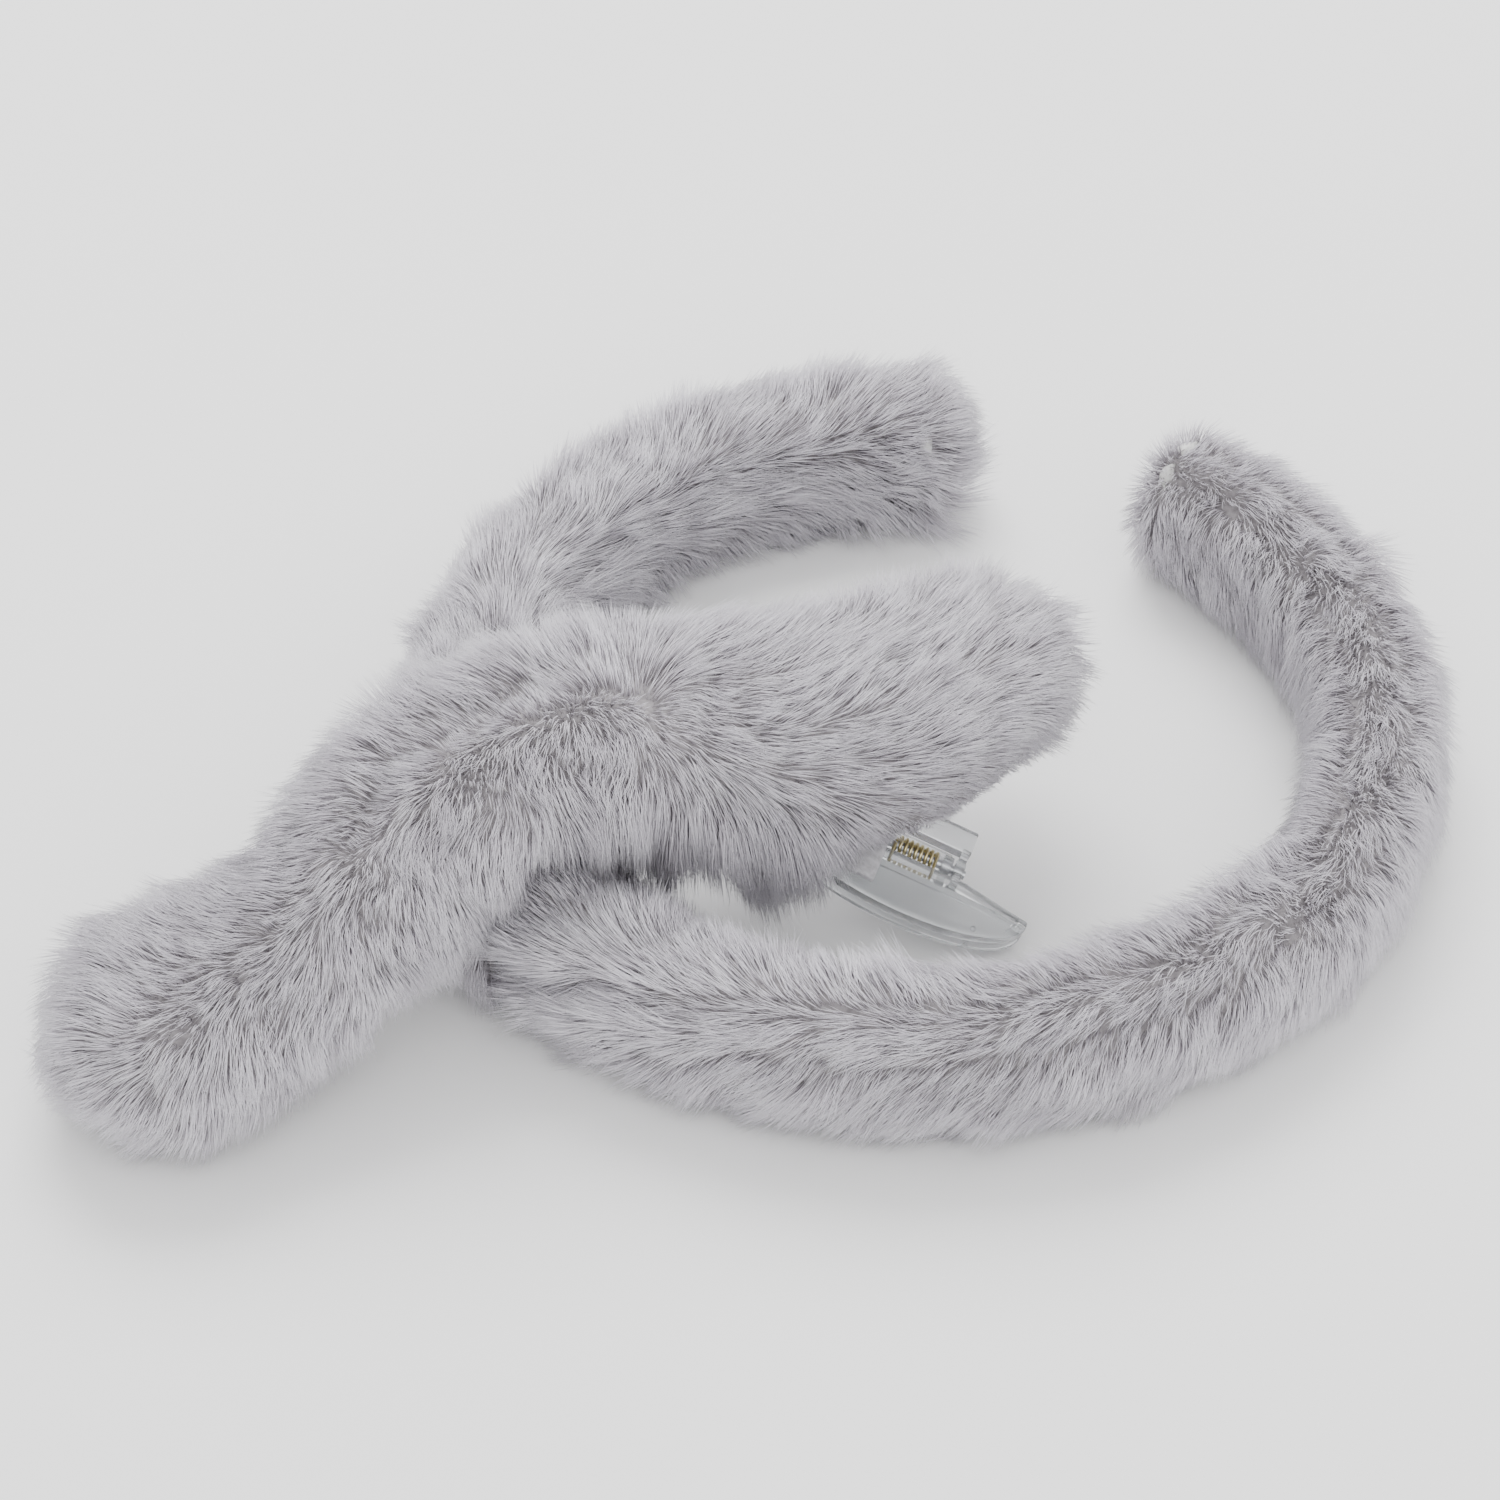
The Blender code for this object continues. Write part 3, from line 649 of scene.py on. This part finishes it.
def strand_mesh(name, path, radius, tone):
    """Closed three-sided strands along the paths, with a map of (along the strand, tone)."""
    count, stops = path.shape[:2]
    heading = unit(np.gradient(path, axis=1))
    side = unit(np.cross(heading, unit(np.array(ODD_DIRECTION))))
    other = np.cross(side, heading)
    turn = np.arange(SIDES) * 2 * math.pi / SIDES
    spin = side[:, :-1, None] * np.cos(turn)[:, None] + other[:, :-1, None] * np.sin(turn)[:, None]
    ring = path[:, :-1, None] + spin * (radius[:, None] * np.array(TAPER))[..., None, None]
    points = np.concatenate((ring.reshape(count, -1, 3), path[:, -1:]), axis=1)
    per = points.shape[1]
    quads = []
    for stop in range(stops - 2):
        low = stop * SIDES
        for s in range(SIDES):
            after = (s + 1) % SIDES
            quads.append((low + s, low + after, low + SIDES + after, low + SIDES + s))
    last = (stops - 2) * SIDES
    tips = [(last + s, last + (s + 1) % SIDES, per - 1) for s in range(SIDES)]
    base = [tuple(range(SIDES))[::-1]]
    faces = quads + tips + base
    corners = np.array([corner for face in faces for corner in face])
    sizes = np.array([len(face) for face in faces])
    loops = (corners[None, :] + np.arange(count)[:, None] * per).ravel()
    starts = np.concatenate(([0], np.cumsum(np.tile(sizes, count))[:-1]))
    mesh = bpy.data.meshes.new(name)
    mesh.vertices.add(count * per)
    mesh.vertices.foreach_set("co", points.astype(np.float32).ravel())
    mesh.loops.add(len(loops))
    mesh.loops.foreach_set("vertex_index", loops.astype(np.int32))
    mesh.polygons.add(len(starts))
    mesh.polygons.foreach_set("loop_start", starts.astype(np.int32))
    mesh.update(calc_edges=True)
    reach = np.concatenate((np.repeat(RINGS, SIDES), (1.0,)))
    map_u = np.tile(reach[corners], count)
    map_v = np.repeat(tone, len(corners))
    layer = mesh.uv_layers.new(name="OFBake")
    layer.data.foreach_set("uv", np.stack((map_u, map_v), axis=-1).astype(np.float32).ravel())
    mesh.shade_smooth()
    return link(bpy.data.objects.new(name, mesh))


def strand_pieces(name, path, pile, seed, material):
    """Splits one pile into pieces of a workable size, in order along the surface."""
    radius = STRAND_WIDTH / 2 * pile.draw.uniform(0.75, 1.2, pile.count)
    stray = pile.draw.normal(0, TONE_STRAY, pile.count)
    tone = 0.02 + 0.96 * clamp01(0.5 + wander(pile.root, TONE_WANDER, seed) + stray)
    order = np.argsort(pile.row, kind="stable")
    parts = np.array_split(order, math.ceil(pile.count / STRANDS_PER_PIECE))
    pieces = []
    for index, part in enumerate(parts):
        piece = strand_mesh(f"{name}_{index + 1}", path[part], radius[part], tone[part])
        pieces.append(paint(piece, material))
    return pieces


# Materials


def node_material(name):
    material = bpy.data.materials.new(name)
    material.use_nodes = True
    tree = material.node_tree
    return material, tree, tree.nodes["Principled BSDF"]


def colour_ramp(tree, factor, stops):
    ramp = tree.nodes.new("ShaderNodeValToRGB")
    while len(ramp.color_ramp.elements) < len(stops):
        ramp.color_ramp.elements.new(0.5)
    for element, (place, colour) in zip(ramp.color_ramp.elements, stops):
        element.position = place
        element.color = (*colour, 1)
    tree.links.new(factor, ramp.inputs["Fac"])
    return ramp.outputs["Color"]


def multiply(tree, first, second):
    mix = tree.nodes.new("ShaderNodeMix")
    mix.data_type = "RGBA"
    mix.blend_type = "MULTIPLY"
    mix.inputs["Factor"].default_value = 1.0
    tree.links.new(first, mix.inputs[6])
    tree.links.new(second, mix.inputs[7])
    return mix.outputs[2]


def strand_material():
    """Strands are dark at the root as painted shade deep in the pile, and pale at the tip, and each
    has its own tone.
    """
    material, tree, shader = node_material("pile_strands")
    where = tree.nodes.new("ShaderNodeUVMap")
    where.uv_map = "OFBake"
    split = tree.nodes.new("ShaderNodeSeparateXYZ")
    tree.links.new(where.outputs["UV"], split.inputs[0])
    # The ramp along the strand darkens its root: painted shade deep in the pile, where the strands
    # shade each other.
    along = colour_ramp(tree, split.outputs["X"], STRAND_RAMP_WITH_ROOT_SHADE)
    tone = colour_ramp(tree, split.outputs["Y"], TONE_SHADES)
    tree.links.new(multiply(tree, along, tone), shader.inputs["Base Color"])
    shader.inputs["Roughness"].default_value = 0.55
    shader.inputs["Specular IOR Level"].default_value = 0.35
    shader.inputs["Sheen Weight"].default_value = 0.15
    shader.inputs["Sheen Roughness"].default_value = 0.5
    return material


def noise(tree, scale, detail=4.0):
    place = tree.nodes.new("ShaderNodeTexCoord")
    texture = tree.nodes.new("ShaderNodeTexNoise")
    texture.inputs["Scale"].default_value = scale
    texture.inputs["Detail"].default_value = detail
    tree.links.new(place.outputs["Object"], texture.inputs["Vector"])
    return texture.outputs["Fac"]


def add_bump(tree, shader, height, strength, distance):
    bump = tree.nodes.new("ShaderNodeBump")
    bump.inputs["Strength"].default_value = strength
    bump.inputs["Distance"].default_value = distance
    tree.links.new(height, bump.inputs["Height"])
    tree.links.new(bump.outputs["Normal"], shader.inputs["Normal"])


def mottled_material(name, dark, light, scale, roughness, metallic=0.0, bump=0.3, depth=0.0003):
    """A surface whose colour and relief both follow the same fine noise."""
    material, tree, shader = node_material(name)
    factor = noise(tree, scale)
    colour = colour_ramp(tree, factor, ((0.3, dark), (0.7, light)))
    tree.links.new(colour, shader.inputs["Base Color"])
    shader.inputs["Roughness"].default_value = roughness
    shader.inputs["Metallic"].default_value = metallic
    add_bump(tree, shader, factor, bump, depth)
    return material


def clear_material():
    material, tree, shader = node_material("clear_clip_plastic")
    factor = noise(tree, 60.0, 2.0)
    colour = colour_ramp(tree, factor, ((0.3, (0.86, 0.88, 0.89)), (0.7, (0.94, 0.95, 0.96))))
    tree.links.new(colour, shader.inputs["Base Color"])
    shader.inputs["Roughness"].default_value = 0.07
    shader.inputs["IOR"].default_value = 1.49
    shader.inputs["Transmission Weight"].default_value = 0.85
    add_bump(tree, shader, factor, 0.15, 0.0004)
    return material


def paint(thing, material):
    thing.data.materials.clear()
    thing.data.materials.append(material)
    return thing


def make_materials():
    """Every material by a short name; a mottled one goes from its darker colour to its lighter one."""
    return {
        "strands": strand_material(),
        # The backing sheet is dark as painted shade: it shows only in the gaps of the pile, where
        # shade falls.
        "skin": mottled_material(
            "pile_backing_painted_shade", (0.2, 0.185, 0.195), (0.34, 0.32, 0.33), 900.0, 0.9
        ),
        "wadding": mottled_material(
            "wadding_fibre", (0.62, 0.62, 0.60), (0.86, 0.86, 0.84), 350.0, 0.95, bump=0.6
        ),
        "clear": clear_material(),
        "brass": mottled_material(
            "brass_wire", (0.46, 0.38, 0.17), (0.80, 0.71, 0.42), 700.0, 0.28, metallic=1.0
        ),
        "steel": mottled_material(
            "spring_steel", (0.42, 0.43, 0.45), (0.62, 0.63, 0.65), 500.0, 0.32, metallic=1.0
        ),
        "tip": mottled_material(
            "tip_plastic", (0.03, 0.03, 0.035), (0.06, 0.06, 0.065), 600.0, 0.45
        ),
        "felt": mottled_material(
            "felt", (0.46, 0.45, 0.47), (0.70, 0.69, 0.72), 1200.0, 0.95, bump=0.7
        ),
    }


# Fur parts


def cover_parts(name, surface, rows, backing, materials):
    """The backing, dark as painted shade in the gaps of the pile, and the stuffing of one part of a
    cover, between two rows of its surface.
    """
    skin = paint(grid_object(f"skin_{name}", surface[rows[0] : rows[1] + 1]), materials["skin"])
    return skin, stuffing(f"stuffing_{name}", surface, rows, backing, materials["wadding"])


def band_pile(grid, angles, rows, seed):
    """Roots, flow, length and lean: parted at the seams, and longer beside the loop and far inside."""
    pile = Pile(grid, seed, rows)
    angle = pile.row_value(angles)
    below, above = seam_offsets(angle, pile.section)
    nearest = np.where(np.abs(below) < np.abs(above), below, above)
    between = (below > 0) & (above < 0)
    away = np.where(between, 0.35 * np.sin(np.radians(nearest) * 4), np.sign(nearest))
    strength = 0.45 + 0.75 * np.exp(-np.abs(nearest) / 45)
    flow = unit(pile.along + pile.around * (away * strength)[:, None])
    start_tip = smoothstep(angle, PILE_START - 18, PILE_START + 3)
    at_seam = near(nearest, 9)
    lean = np.radians(BAND_LEAN - 26 * start_tip - 16 * at_seam)
    by_loop = near(angle - LOOP_EDGE, 15) * smoothstep(-pile.normal[:, 2], -0.7, 0.2)
    far_inside = smoothstep(-angle, 160, 180) * near(pile.section - 205, 45)
    longer = 0.6 * by_loop + 0.5 * far_inside
    length = BAND_LENGTH * (1 - 0.22 * start_tip - 0.22 * at_seam + longer)
    return pile, flow, length, lean


def make_band(materials):
    """Backing, stuffing and strands of the crown and of both arms, cut from one surface."""
    coarse, angles = band_grid(BAND_ROWS, BAND_COLUMNS)
    seams = seam_offsets(angles[:, None], section_angles(BAND_COLUMNS)[None, :])
    held = HELD + (1 - HELD) * near(np.minimum(*np.abs(seams)), SEAM_HOLD)
    fine = refine(blow_up(coarse, held))
    fine_angles = catmull_rom(angles, len(fine))
    offsets = seam_offsets(fine_angles[:, None], section_angles(fine.shape[1])[None, :])
    to_length = math.radians(1) * (BAND_HALF_WIDTH + BAND_HALF_HEIGHT) / 2
    fine = sink_seams(fine, [o * to_length for o in offsets], SEAM_DEPTH, SEAM_WIDTH)
    right_cut = nearest_row(fine_angles, RIGHT_HINGE - HINGE_REACH)
    left_cut = nearest_row(fine_angles, LEFT_HINGE + HINGE_REACH)
    spans = {
        "arm_right": (0, right_cut),
        "crown": (right_cut, left_cut),
        "arm_left": (left_cut, len(fine) - 1),
    }
    made = {}
    for seed, (name, rows) in enumerate(spans.items()):
        pile, flow, length, lean = band_pile(fine, fine_angles, rows, BAND_SEED + seed)
        path = comb(pile, flow, length, lean, BAND_COMB_SEED)
        path = gather(path, pile, *LARGE_CLUMP)
        path = keep_above_floor(gather(path, pile, *SMALL_CLUMP))
        skin, filling = cover_parts(name, fine, rows, BAND_BACKING, materials)
        strands = strand_pieces(f"fur_{name}", path, pile, BAND_TONE_SEED, materials["strands"])
        made[name] = (skin, filling, strands)
    return made


def furrow_offset(where, section):
    """Signed section angles, in degrees, from the furrow."""
    return section - along_path(FURROW, where)


def furrow_share(where):
    """How deep the furrow is at a place along the spoke, from 0 to 1."""
    first, full, fading, last = FURROW_SPAN
    return smoothstep(where, first, full) * (1 - smoothstep(where, fading, last))


def ears_pile(grid, reach, rows, seed):
    pile = Pile(grid, seed, rows)
    return (pile, *ears_combing(pile, reach))


def ears_combing(pile, reach):
    """Flow, length, lean and hang of the ears' pile: out from the turn, and down from the parting."""
    where = pile.row_value(reach)
    off = full_turn(pile.section - along_path(PARTING, where, PARTING_WANDER))
    inner = smoothstep(-where, -PILE_TURNS, -PILE_TURNS + 6)
    outwards = -np.tanh((where - PILE_TURNS) / np.where(where > PILE_TURNS, 34, 5))
    side = np.sin(np.radians(off) / 2) * 1.5 + 0.25 * np.sign(off)
    side = side * (1 - 0.55 * inner * (1 - smoothstep(np.abs(off), 45, 100)))
    flow = unit(pile.along * (outwards * 0.95)[:, None] + pile.around * side[:, None])
    at_parting = near(off, 12)
    pit = smoothstep(ripple(pile.root, PIT_SIZE, PIT_SEED), 0.5, 1.1)
    near_side = smoothstep(np.cos(np.radians(pile.section)), 0.0, 0.3)
    by_clip = smoothstep(-pile.normal[:, 2], -0.5, 0.1)
    by_clip = by_clip * smoothstep(-where, -CLIP_CLEARING, 4 - CLIP_CLEARING)
    by_clip = by_clip * near_side * smoothstep(where, -8, 4)
    in_furrow = furrow_share(where) * near(furrow_offset(where, pile.section), 8)
    lean = np.radians(EARS_LEAN - 16 * at_parting - 22 * pit + 14 * by_clip - 12 * in_furrow)
    length = EARS_LENGTH * (1 - 0.2 * at_parting - 0.25 * pit - 0.5 * by_clip - 0.3 * in_furrow)
    hang = tuft_weight(pile, where)
    return flow, length * (1 + 0.75 * hang), lean * (1 - 0.25 * hang), 0.9 * hang


def tuft_weight(pile, where):
    """How much a strand belongs to the tufts that hang from the near lower edge of the inner ear."""
    edge = smoothstep(-pile.normal[:, 2], -0.55, 0.0) * (np.cos(np.radians(pile.section)) > 0)
    along = sum(near(where - middle, reach) for middle, reach in TUFTS)
    return edge * np.minimum(along, 1)


def tuft_pile(grid, reach, rows, seed):
    """Extra strands where the tufts hang, which makes them thick."""
    pile = Pile(grid, seed, rows)
    pile.keep(tuft_weight(pile, pile.row_value(reach)) > 0.35)
    return (pile, *ears_combing(pile, reach))


def comb_ears(pile, flow, length, lean, hang):
    return comb(pile, flow, length, lean, EARS_COMB_SEED, hang)


def make_ears(materials):
    """Backing, stuffing and strands of both ears and the saddle, cut from one surface."""
    coarse, reach = ears_grid(EARS_ROWS, EARS_COLUMNS)
    held = np.full(coarse.shape[:2], HELD)
    held[[0, -1]] = 1
    fine = refine(blow_up(coarse, held))
    fine_reach = catmull_rom(reach, len(fine))
    off = furrow_offset(fine_reach[:, None], section_angles(fine.shape[1])[None, :])
    off = off * math.radians(1) * FURROW_RADIUS
    depth = FURROW_DEPTH * furrow_share(fine_reach)[:, None]
    fine = sink_seams(fine, [off], depth, FURROW_WIDTH)
    outer_cut, inner_cut = (nearest_row(fine_reach, end) for end in SADDLE_ENDS)
    spans = {
        "ear_outer": (0, outer_cut),
        "saddle": (outer_cut, inner_cut),
        "ear_inner": (inner_cut, len(fine) - 1),
    }
    made = {}
    for seed, (name, rows) in enumerate(spans.items()):
        pile, *combing = ears_pile(fine, fine_reach, rows, EARS_SEED + seed)
        path = comb_ears(pile, *combing)
        path = gather(path, pile, *LARGE_CLUMP)
        path = keep_above_floor(gather(path, pile, *SMALL_CLUMP))
        skin, filling = cover_parts(name, fine, rows, EAR_BACKING, materials)
        strands = strand_pieces(f"fur_{name}", path, pile, EARS_TONE_SEED, materials["strands"])
        if name != "ear_outer":
            pile, *combing = tuft_pile(fine, fine_reach, rows, TUFT_SEED + seed)
            path = keep_above_floor(gather(comb_ears(pile, *combing), pile, *TUFT_CLUMP))
            strands += strand_pieces(
                f"fur_tuft_{name}", path, pile, EARS_TONE_SEED, materials["strands"]
            )
        made[name] = (skin, filling, strands)
    return made


def make_loop(materials):
    """Backing and strands of the loop round the band."""
    fine = refine(loop_grid(LOOP_ROWS, LOOP_COLUMNS))
    pile = Pile(fine, LOOP_SEED)
    flow = unit(-UP - pile.normal * (pile.normal @ -UP)[:, None])
    length = np.full(pile.count, LOOP_LENGTH)
    lean = np.full(pile.count, math.radians(LOOP_LEAN))
    path = comb(pile, flow, length, lean, LOOP_COMB_SEED)
    path = keep_above_floor(gather(path, pile, *LARGE_CLUMP))
    # The loop's backing is dark as painted shade in the gaps of its pile.
    skin = paint(grid_object("skin_loop", fine), materials["skin"])
    return skin, strand_pieces("fur_loop", path, pile, LOOP_TONE_SEED, materials["strands"])


def attach_band(made):
    skin, filling, strands = made["crown"]
    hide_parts("sleeve_crown")
    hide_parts("wadding_crown")
    for piece in (skin, filling, *strands):
        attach(piece, "band_crown")
    for side, hinge, direction in (("left", LEFT_HINGE, -1), ("right", RIGHT_HINGE, 1)):
        skin, filling, strands = made[f"arm_{side}"]
        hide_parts(f"sleeve_{side}", f"sleeve_end_{side}")
        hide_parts(f"wadding_{side}")
        for piece in (skin, filling, *strands):
            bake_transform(piece)


def attach_ears(made):
    skin, filling, strands = made["saddle"]
    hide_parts("saddle_cover")
    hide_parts("saddle_filling")
    for piece in (skin, filling, *strands):
        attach(piece, "ears_saddle")
    for side, root, direction in (("outer", SADDLE_ENDS[0], 1), ("inner", SADDLE_ENDS[1], -1)):
        skin, filling, strands = made[f"ear_{side}"]
        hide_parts(f"ear_{side}_cover")
        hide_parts(f"ear_{side}_filling")
        for piece in (skin, filling, *strands):
            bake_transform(piece)


def attach_loop(skin, strands):
    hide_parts("band_loop")
    for piece in (skin, *strands):
        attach(piece, "ears_saddle")


# Clip


def clip_frame():
    """The clip's place and directions: it hangs on the hinge of the joint that opens it."""
    hinge = next(joint for joint in frame["joints"] if joint["name"] == "clip_open")
    turn = Matrix.Rotation(math.radians(EARS_ANGLE), 4, "Z")
    tilt = Euler([math.radians(angle) for angle in CLIP_TURN], "YXZ").to_matrix().to_4x4()
    return Matrix.Translation(hinge["pos_m"]) @ turn @ tilt


def leaf_outline(shrink):
    """A half oval with its straight side along the hinge, as (x, y) points."""
    swing = np.linspace(-math.pi / 2, math.pi / 2, LEAF_POINTS)
    wide = LEAF_TIP_OFFSET + (LEAF_WIDTH - shrink - LEAF_TIP_OFFSET) * np.cos(swing) ** 0.85
    curve = np.stack((wide, (LEAF_HALF_LENGTH - shrink) * np.sin(swing)), axis=-1)
    root = np.linspace(ROOT_REACH, -ROOT_REACH, ROOT_POINTS)
    back = np.stack((np.full(ROOT_POINTS, LEAF_ROOT + shrink), root), axis=-1)
    return np.concatenate((curve, back))


def leaf_mesh(bm, side):
    """A leaf with rounded edges, a raised rim and a sunk panel on its open face."""
    rings = []
    for inset, height in LEAF_SECTION:
        level = side * (LEAF_GAP + height * MM)
        rings.append([bm.verts.new((x, y, level)) for x, y in leaf_outline(inset * MM)])
    for low, high in zip(rings, rings[1:]):
        for i in range(len(low)):
            bm.faces.new((low[i - 1], low[i], high[i], high[i - 1]))
    bm.faces.new(rings[0])
    bm.faces.new(rings[-1])


def rounded_box(bm, low, high, turn, rounding):
    """A box between two corners with rounded edges, turned about the hinge."""
    cube = bmesh.ops.create_cube(bm, size=1)["verts"]
    size = Vector(high) - Vector(low)
    shape = Matrix.Translation((Vector(high) + Vector(low)) / 2) @ Matrix.Diagonal((*size, 1))
    bmesh.ops.transform(bm, matrix=Matrix.Rotation(turn, 4, "Y") @ shape, verts=cube)
    edges = list({edge for vert in cube for edge in vert.link_edges})
    bmesh.ops.bevel(bm, geom=edges, offset=rounding, segments=3, affect="EDGES", profile=0.5)


def barrel(bm, half_length, middle):
    """A hinge knuckle: a short cylinder along the hinge with eased ends."""
    cylinder = bmesh.ops.create_cone(
        bm,
        cap_ends=True,
        segments=40,
        radius1=KNUCKLE_RADIUS,
        radius2=KNUCKLE_RADIUS,
        depth=2 * half_length,
        matrix=Matrix.Translation((0, middle, 0)) @ Matrix.Rotation(math.pi / 2, 4, "X"),
    )["verts"]
    ends = [edge for edge in {e for v in cylinder for e in v.link_edges} if is_rim(edge)]
    bmesh.ops.bevel(bm, geom=ends, offset=0.2 * MM, segments=2, affect="EDGES", profile=0.5)


def is_rim(edge):
    """Whether an edge borders a face with more than four corners, which only an end has."""
    return any(len(face.verts) > 4 for face in edge.link_faces)


def leaf_piece(name, side, knuckle, lever_angle, place, material):
    """One leaf with its two knuckles, the lugs that carry them, studs that grip, and its lever."""
    bm = bmesh.new()
    leaf_mesh(bm, side)
    low, high = sorted((side * LEAF_GAP, side * (LEAF_GAP + LEAF_THICKNESS)))
    half = KNUCKLE_LENGTH / 2
    turn = math.radians(lever_angle)
    for end in (-1, 1):
        middle = end * knuckle
        barrel(bm, half, middle)
        for start, stop, angle in (
            (KNUCKLE_RADIUS * 0.7, LEAF_ROOT + LUG_LAP, 0),
            (-LEAF_ROOT - LUG_LAP, -KNUCKLE_RADIUS * 0.7, turn),
        ):
            rounded_box(
                bm,
                (start, middle - half * KNUCKLE_SHARE, low + LUG_INSET),
                (stop, middle + half * KNUCKLE_SHARE, high - LUG_INSET),
                angle,
                LUG_ROUNDING,
            )
        out, along = STUD_PLACE
        stud = (LEAF_WIDTH * out, end * LEAF_HALF_LENGTH * along, side * (LEAF_GAP + LEAF_THICKNESS))
        bmesh.ops.create_uvsphere(
            bm, u_segments=16, v_segments=10, radius=STUD_RADIUS, matrix=Matrix.Translation(stud)
        )
    rounded_box(
        bm,
        (-LEAF_ROOT - LEVER_LENGTH, -knuckle - half, low),
        (-LEAF_ROOT, knuckle + half, high),
        turn,
        LEVER_ROUNDING,
    )
    bmesh.ops.recalc_face_normals(bm, faces=bm.faces)
    mesh = bpy.data.meshes.new(name)
    bm.to_mesh(mesh)
    bm.free()
    mesh.transform(place)
    mesh.shade_smooth()
    mesh.set_sharp_from_angle(angle=math.radians(35))
    return paint(link(bpy.data.objects.new(name, mesh)), material)


def coil_piece(place, material):
    """A torsion spring round the hinge pin, its two legs pressing the leaves together."""
    count = COIL_TURNS * COIL_POINTS
    angle = 2 * math.pi * np.arange(count + 1) / COIL_POINTS
    along = COIL_PITCH * (np.arange(count + 1) / COIL_POINTS - COIL_TURNS / 2)
    path = np.stack((COIL_RADIUS * np.sin(angle), along, COIL_RADIUS * np.cos(angle)), axis=-1)
    leg = np.linspace(*COIL_LEG, COIL_LEG_POINTS)
    first = path[0] + np.outer(leg[::-1] * MM, (1, 0, 0))
    last = path[-1] + np.outer(leg * MM, (1, 0, 0))
    points = np.concatenate((first, path, last))
    curve = bpy.data.curves.new("spring_coil", "CURVE")
    curve.dimensions = "3D"
    curve.bevel_depth = COIL_WIRE
    curve.bevel_resolution = 4
    curve.use_fill_caps = True
    spline = curve.splines.new("POLY")
    spline.points.add(len(points) - 1)
    for point, spot in zip(spline.points, points):
        point.co = (*(place @ Vector(spot)), 1)
    coil = link(bpy.data.objects.new("spring_coil", curve))
    curve.materials.append(material)
    return coil


def pad_piece(place, material):
    """A felt pad with soft edges, a little uneven."""
    bm = bmesh.new()
    bmesh.ops.create_cube(bm, size=1)
    bmesh.ops.subdivide_edges(bm, edges=bm.edges, cuts=PAD_CUTS, use_grid_fill=True)
    for vert in bm.verts:
        x, y, z = vert.co
        edge = max(abs(x), abs(y)) * 2
        thin = 1 - PAD_EASE * edge**8
        vert.co = Vector((x * PAD_SIZE[0], y * PAD_SIZE[1], z * PAD_SIZE[2] * thin))
        uneven = ripple(np.array(vert.co), PAD_LUMP_SIZE, FELT_SEED)
        vert.co += Vector(PAD_PLACE) + Vector((0, 0, PAD_LUMPS * float(uneven)))
    bmesh.ops.recalc_face_normals(bm, faces=bm.faces)
    mesh = bpy.data.meshes.new("felt_pad")
    bm.to_mesh(mesh)
    bm.free()
    mesh.transform(place)
    mesh.shade_smooth()
    return paint(link(bpy.data.objects.new("felt_pad", mesh)), material)


def make_clip(materials):
    place = clip_frame()
    base = leaf_piece("clip_leaf_fixed", 1, BASE_KNUCKLE, 0, place, materials["clear"])
    lid = leaf_piece("clip_leaf_opening", -1, LID_KNUCKLE, -LID_LEVER_ANGLE, place, materials["clear"])
    coil = coil_piece(place, materials["brass"])
    pad = pad_piece(place, materials["felt"])
    rows = (
        (base, "ear_inner", "clip_base", "clear_plastic"),
        (lid, "clip_jaw", "clip_lid", "clear_plastic"),
        (coil, "ear_inner", "clip_spring", "brass"),
        (pad, "ear_inner", "clip_pad", "felt"),
    )
    for piece, body, node, slot in rows:
        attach(piece, body)
        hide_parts(node)


def dress_nodes(materials):
    """The frame's own metal and plastic parts inside the band, the ears and the hinge."""
    for name, node in frame["nodes"].items():
        if name.startswith("core_tip"):
            paint(node, materials["tip"])
        elif name.startswith("core") or name.endswith("wire") or name == "clip_pin":
            paint(node, materials["steel"])


# Stage


def make_stage():
    bpy.ops.mesh.primitive_plane_add(size=FLOOR_SIZE, location=(*FLOOR_PLACE, FLOOR))
    floor = bpy.context.object
    floor.name = "floor"
    pale = mottled_material("floor", (0.95, 0.95, 0.95), (0.97, 0.97, 0.97), 8.0, 0.9, bump=0.0)
    paint(floor, pale)
    world = bpy.data.worlds.new("studio")
    world.use_nodes = True
    background = world.node_tree.nodes["Background"]
    background.inputs["Color"].default_value = (1, 1, 1, 1)
    background.inputs["Strength"].default_value = WORLD_STRENGTH
    bpy.context.scene.world = world
    for light in LIGHTS:
        add_light(*light)


def add_light(name, place, size, power):
    data = bpy.data.lights.new(name, "AREA")
    data.size = size
    data.energy = power
    light = link(bpy.data.objects.new(name, data))
    light.location = place
    light.rotation_euler = (Vector(LIGHT_TARGET) - light.location).to_track_quat("-Z", "Y").to_euler()


def make_camera():
    data = bpy.data.cameras.new("camera")
    data.lens = CAMERA_LENS
    data.sensor_width = CAMERA_SENSOR
    camera = link(bpy.data.objects.new("camera", data))
    azimuth, elevation = math.radians(CAMERA_AZIMUTH), math.radians(CAMERA_ELEVATION)
    level = math.cos(elevation)
    back = Vector((math.sin(azimuth) * level, -math.cos(azimuth) * level, math.sin(elevation)))
    camera.location = Vector(CAMERA_TARGET) + back * CAMERA_DISTANCE
    camera.rotation_euler = back.to_track_quat("Z", "Y").to_euler()
    bpy.context.scene.camera = camera


materials = make_materials()
make_camera()
make_stage()
attach_band(make_band(materials))
attach_ears(make_ears(materials))
attach_loop(*make_loop(materials))
make_clip(materials)
dress_nodes(materials)
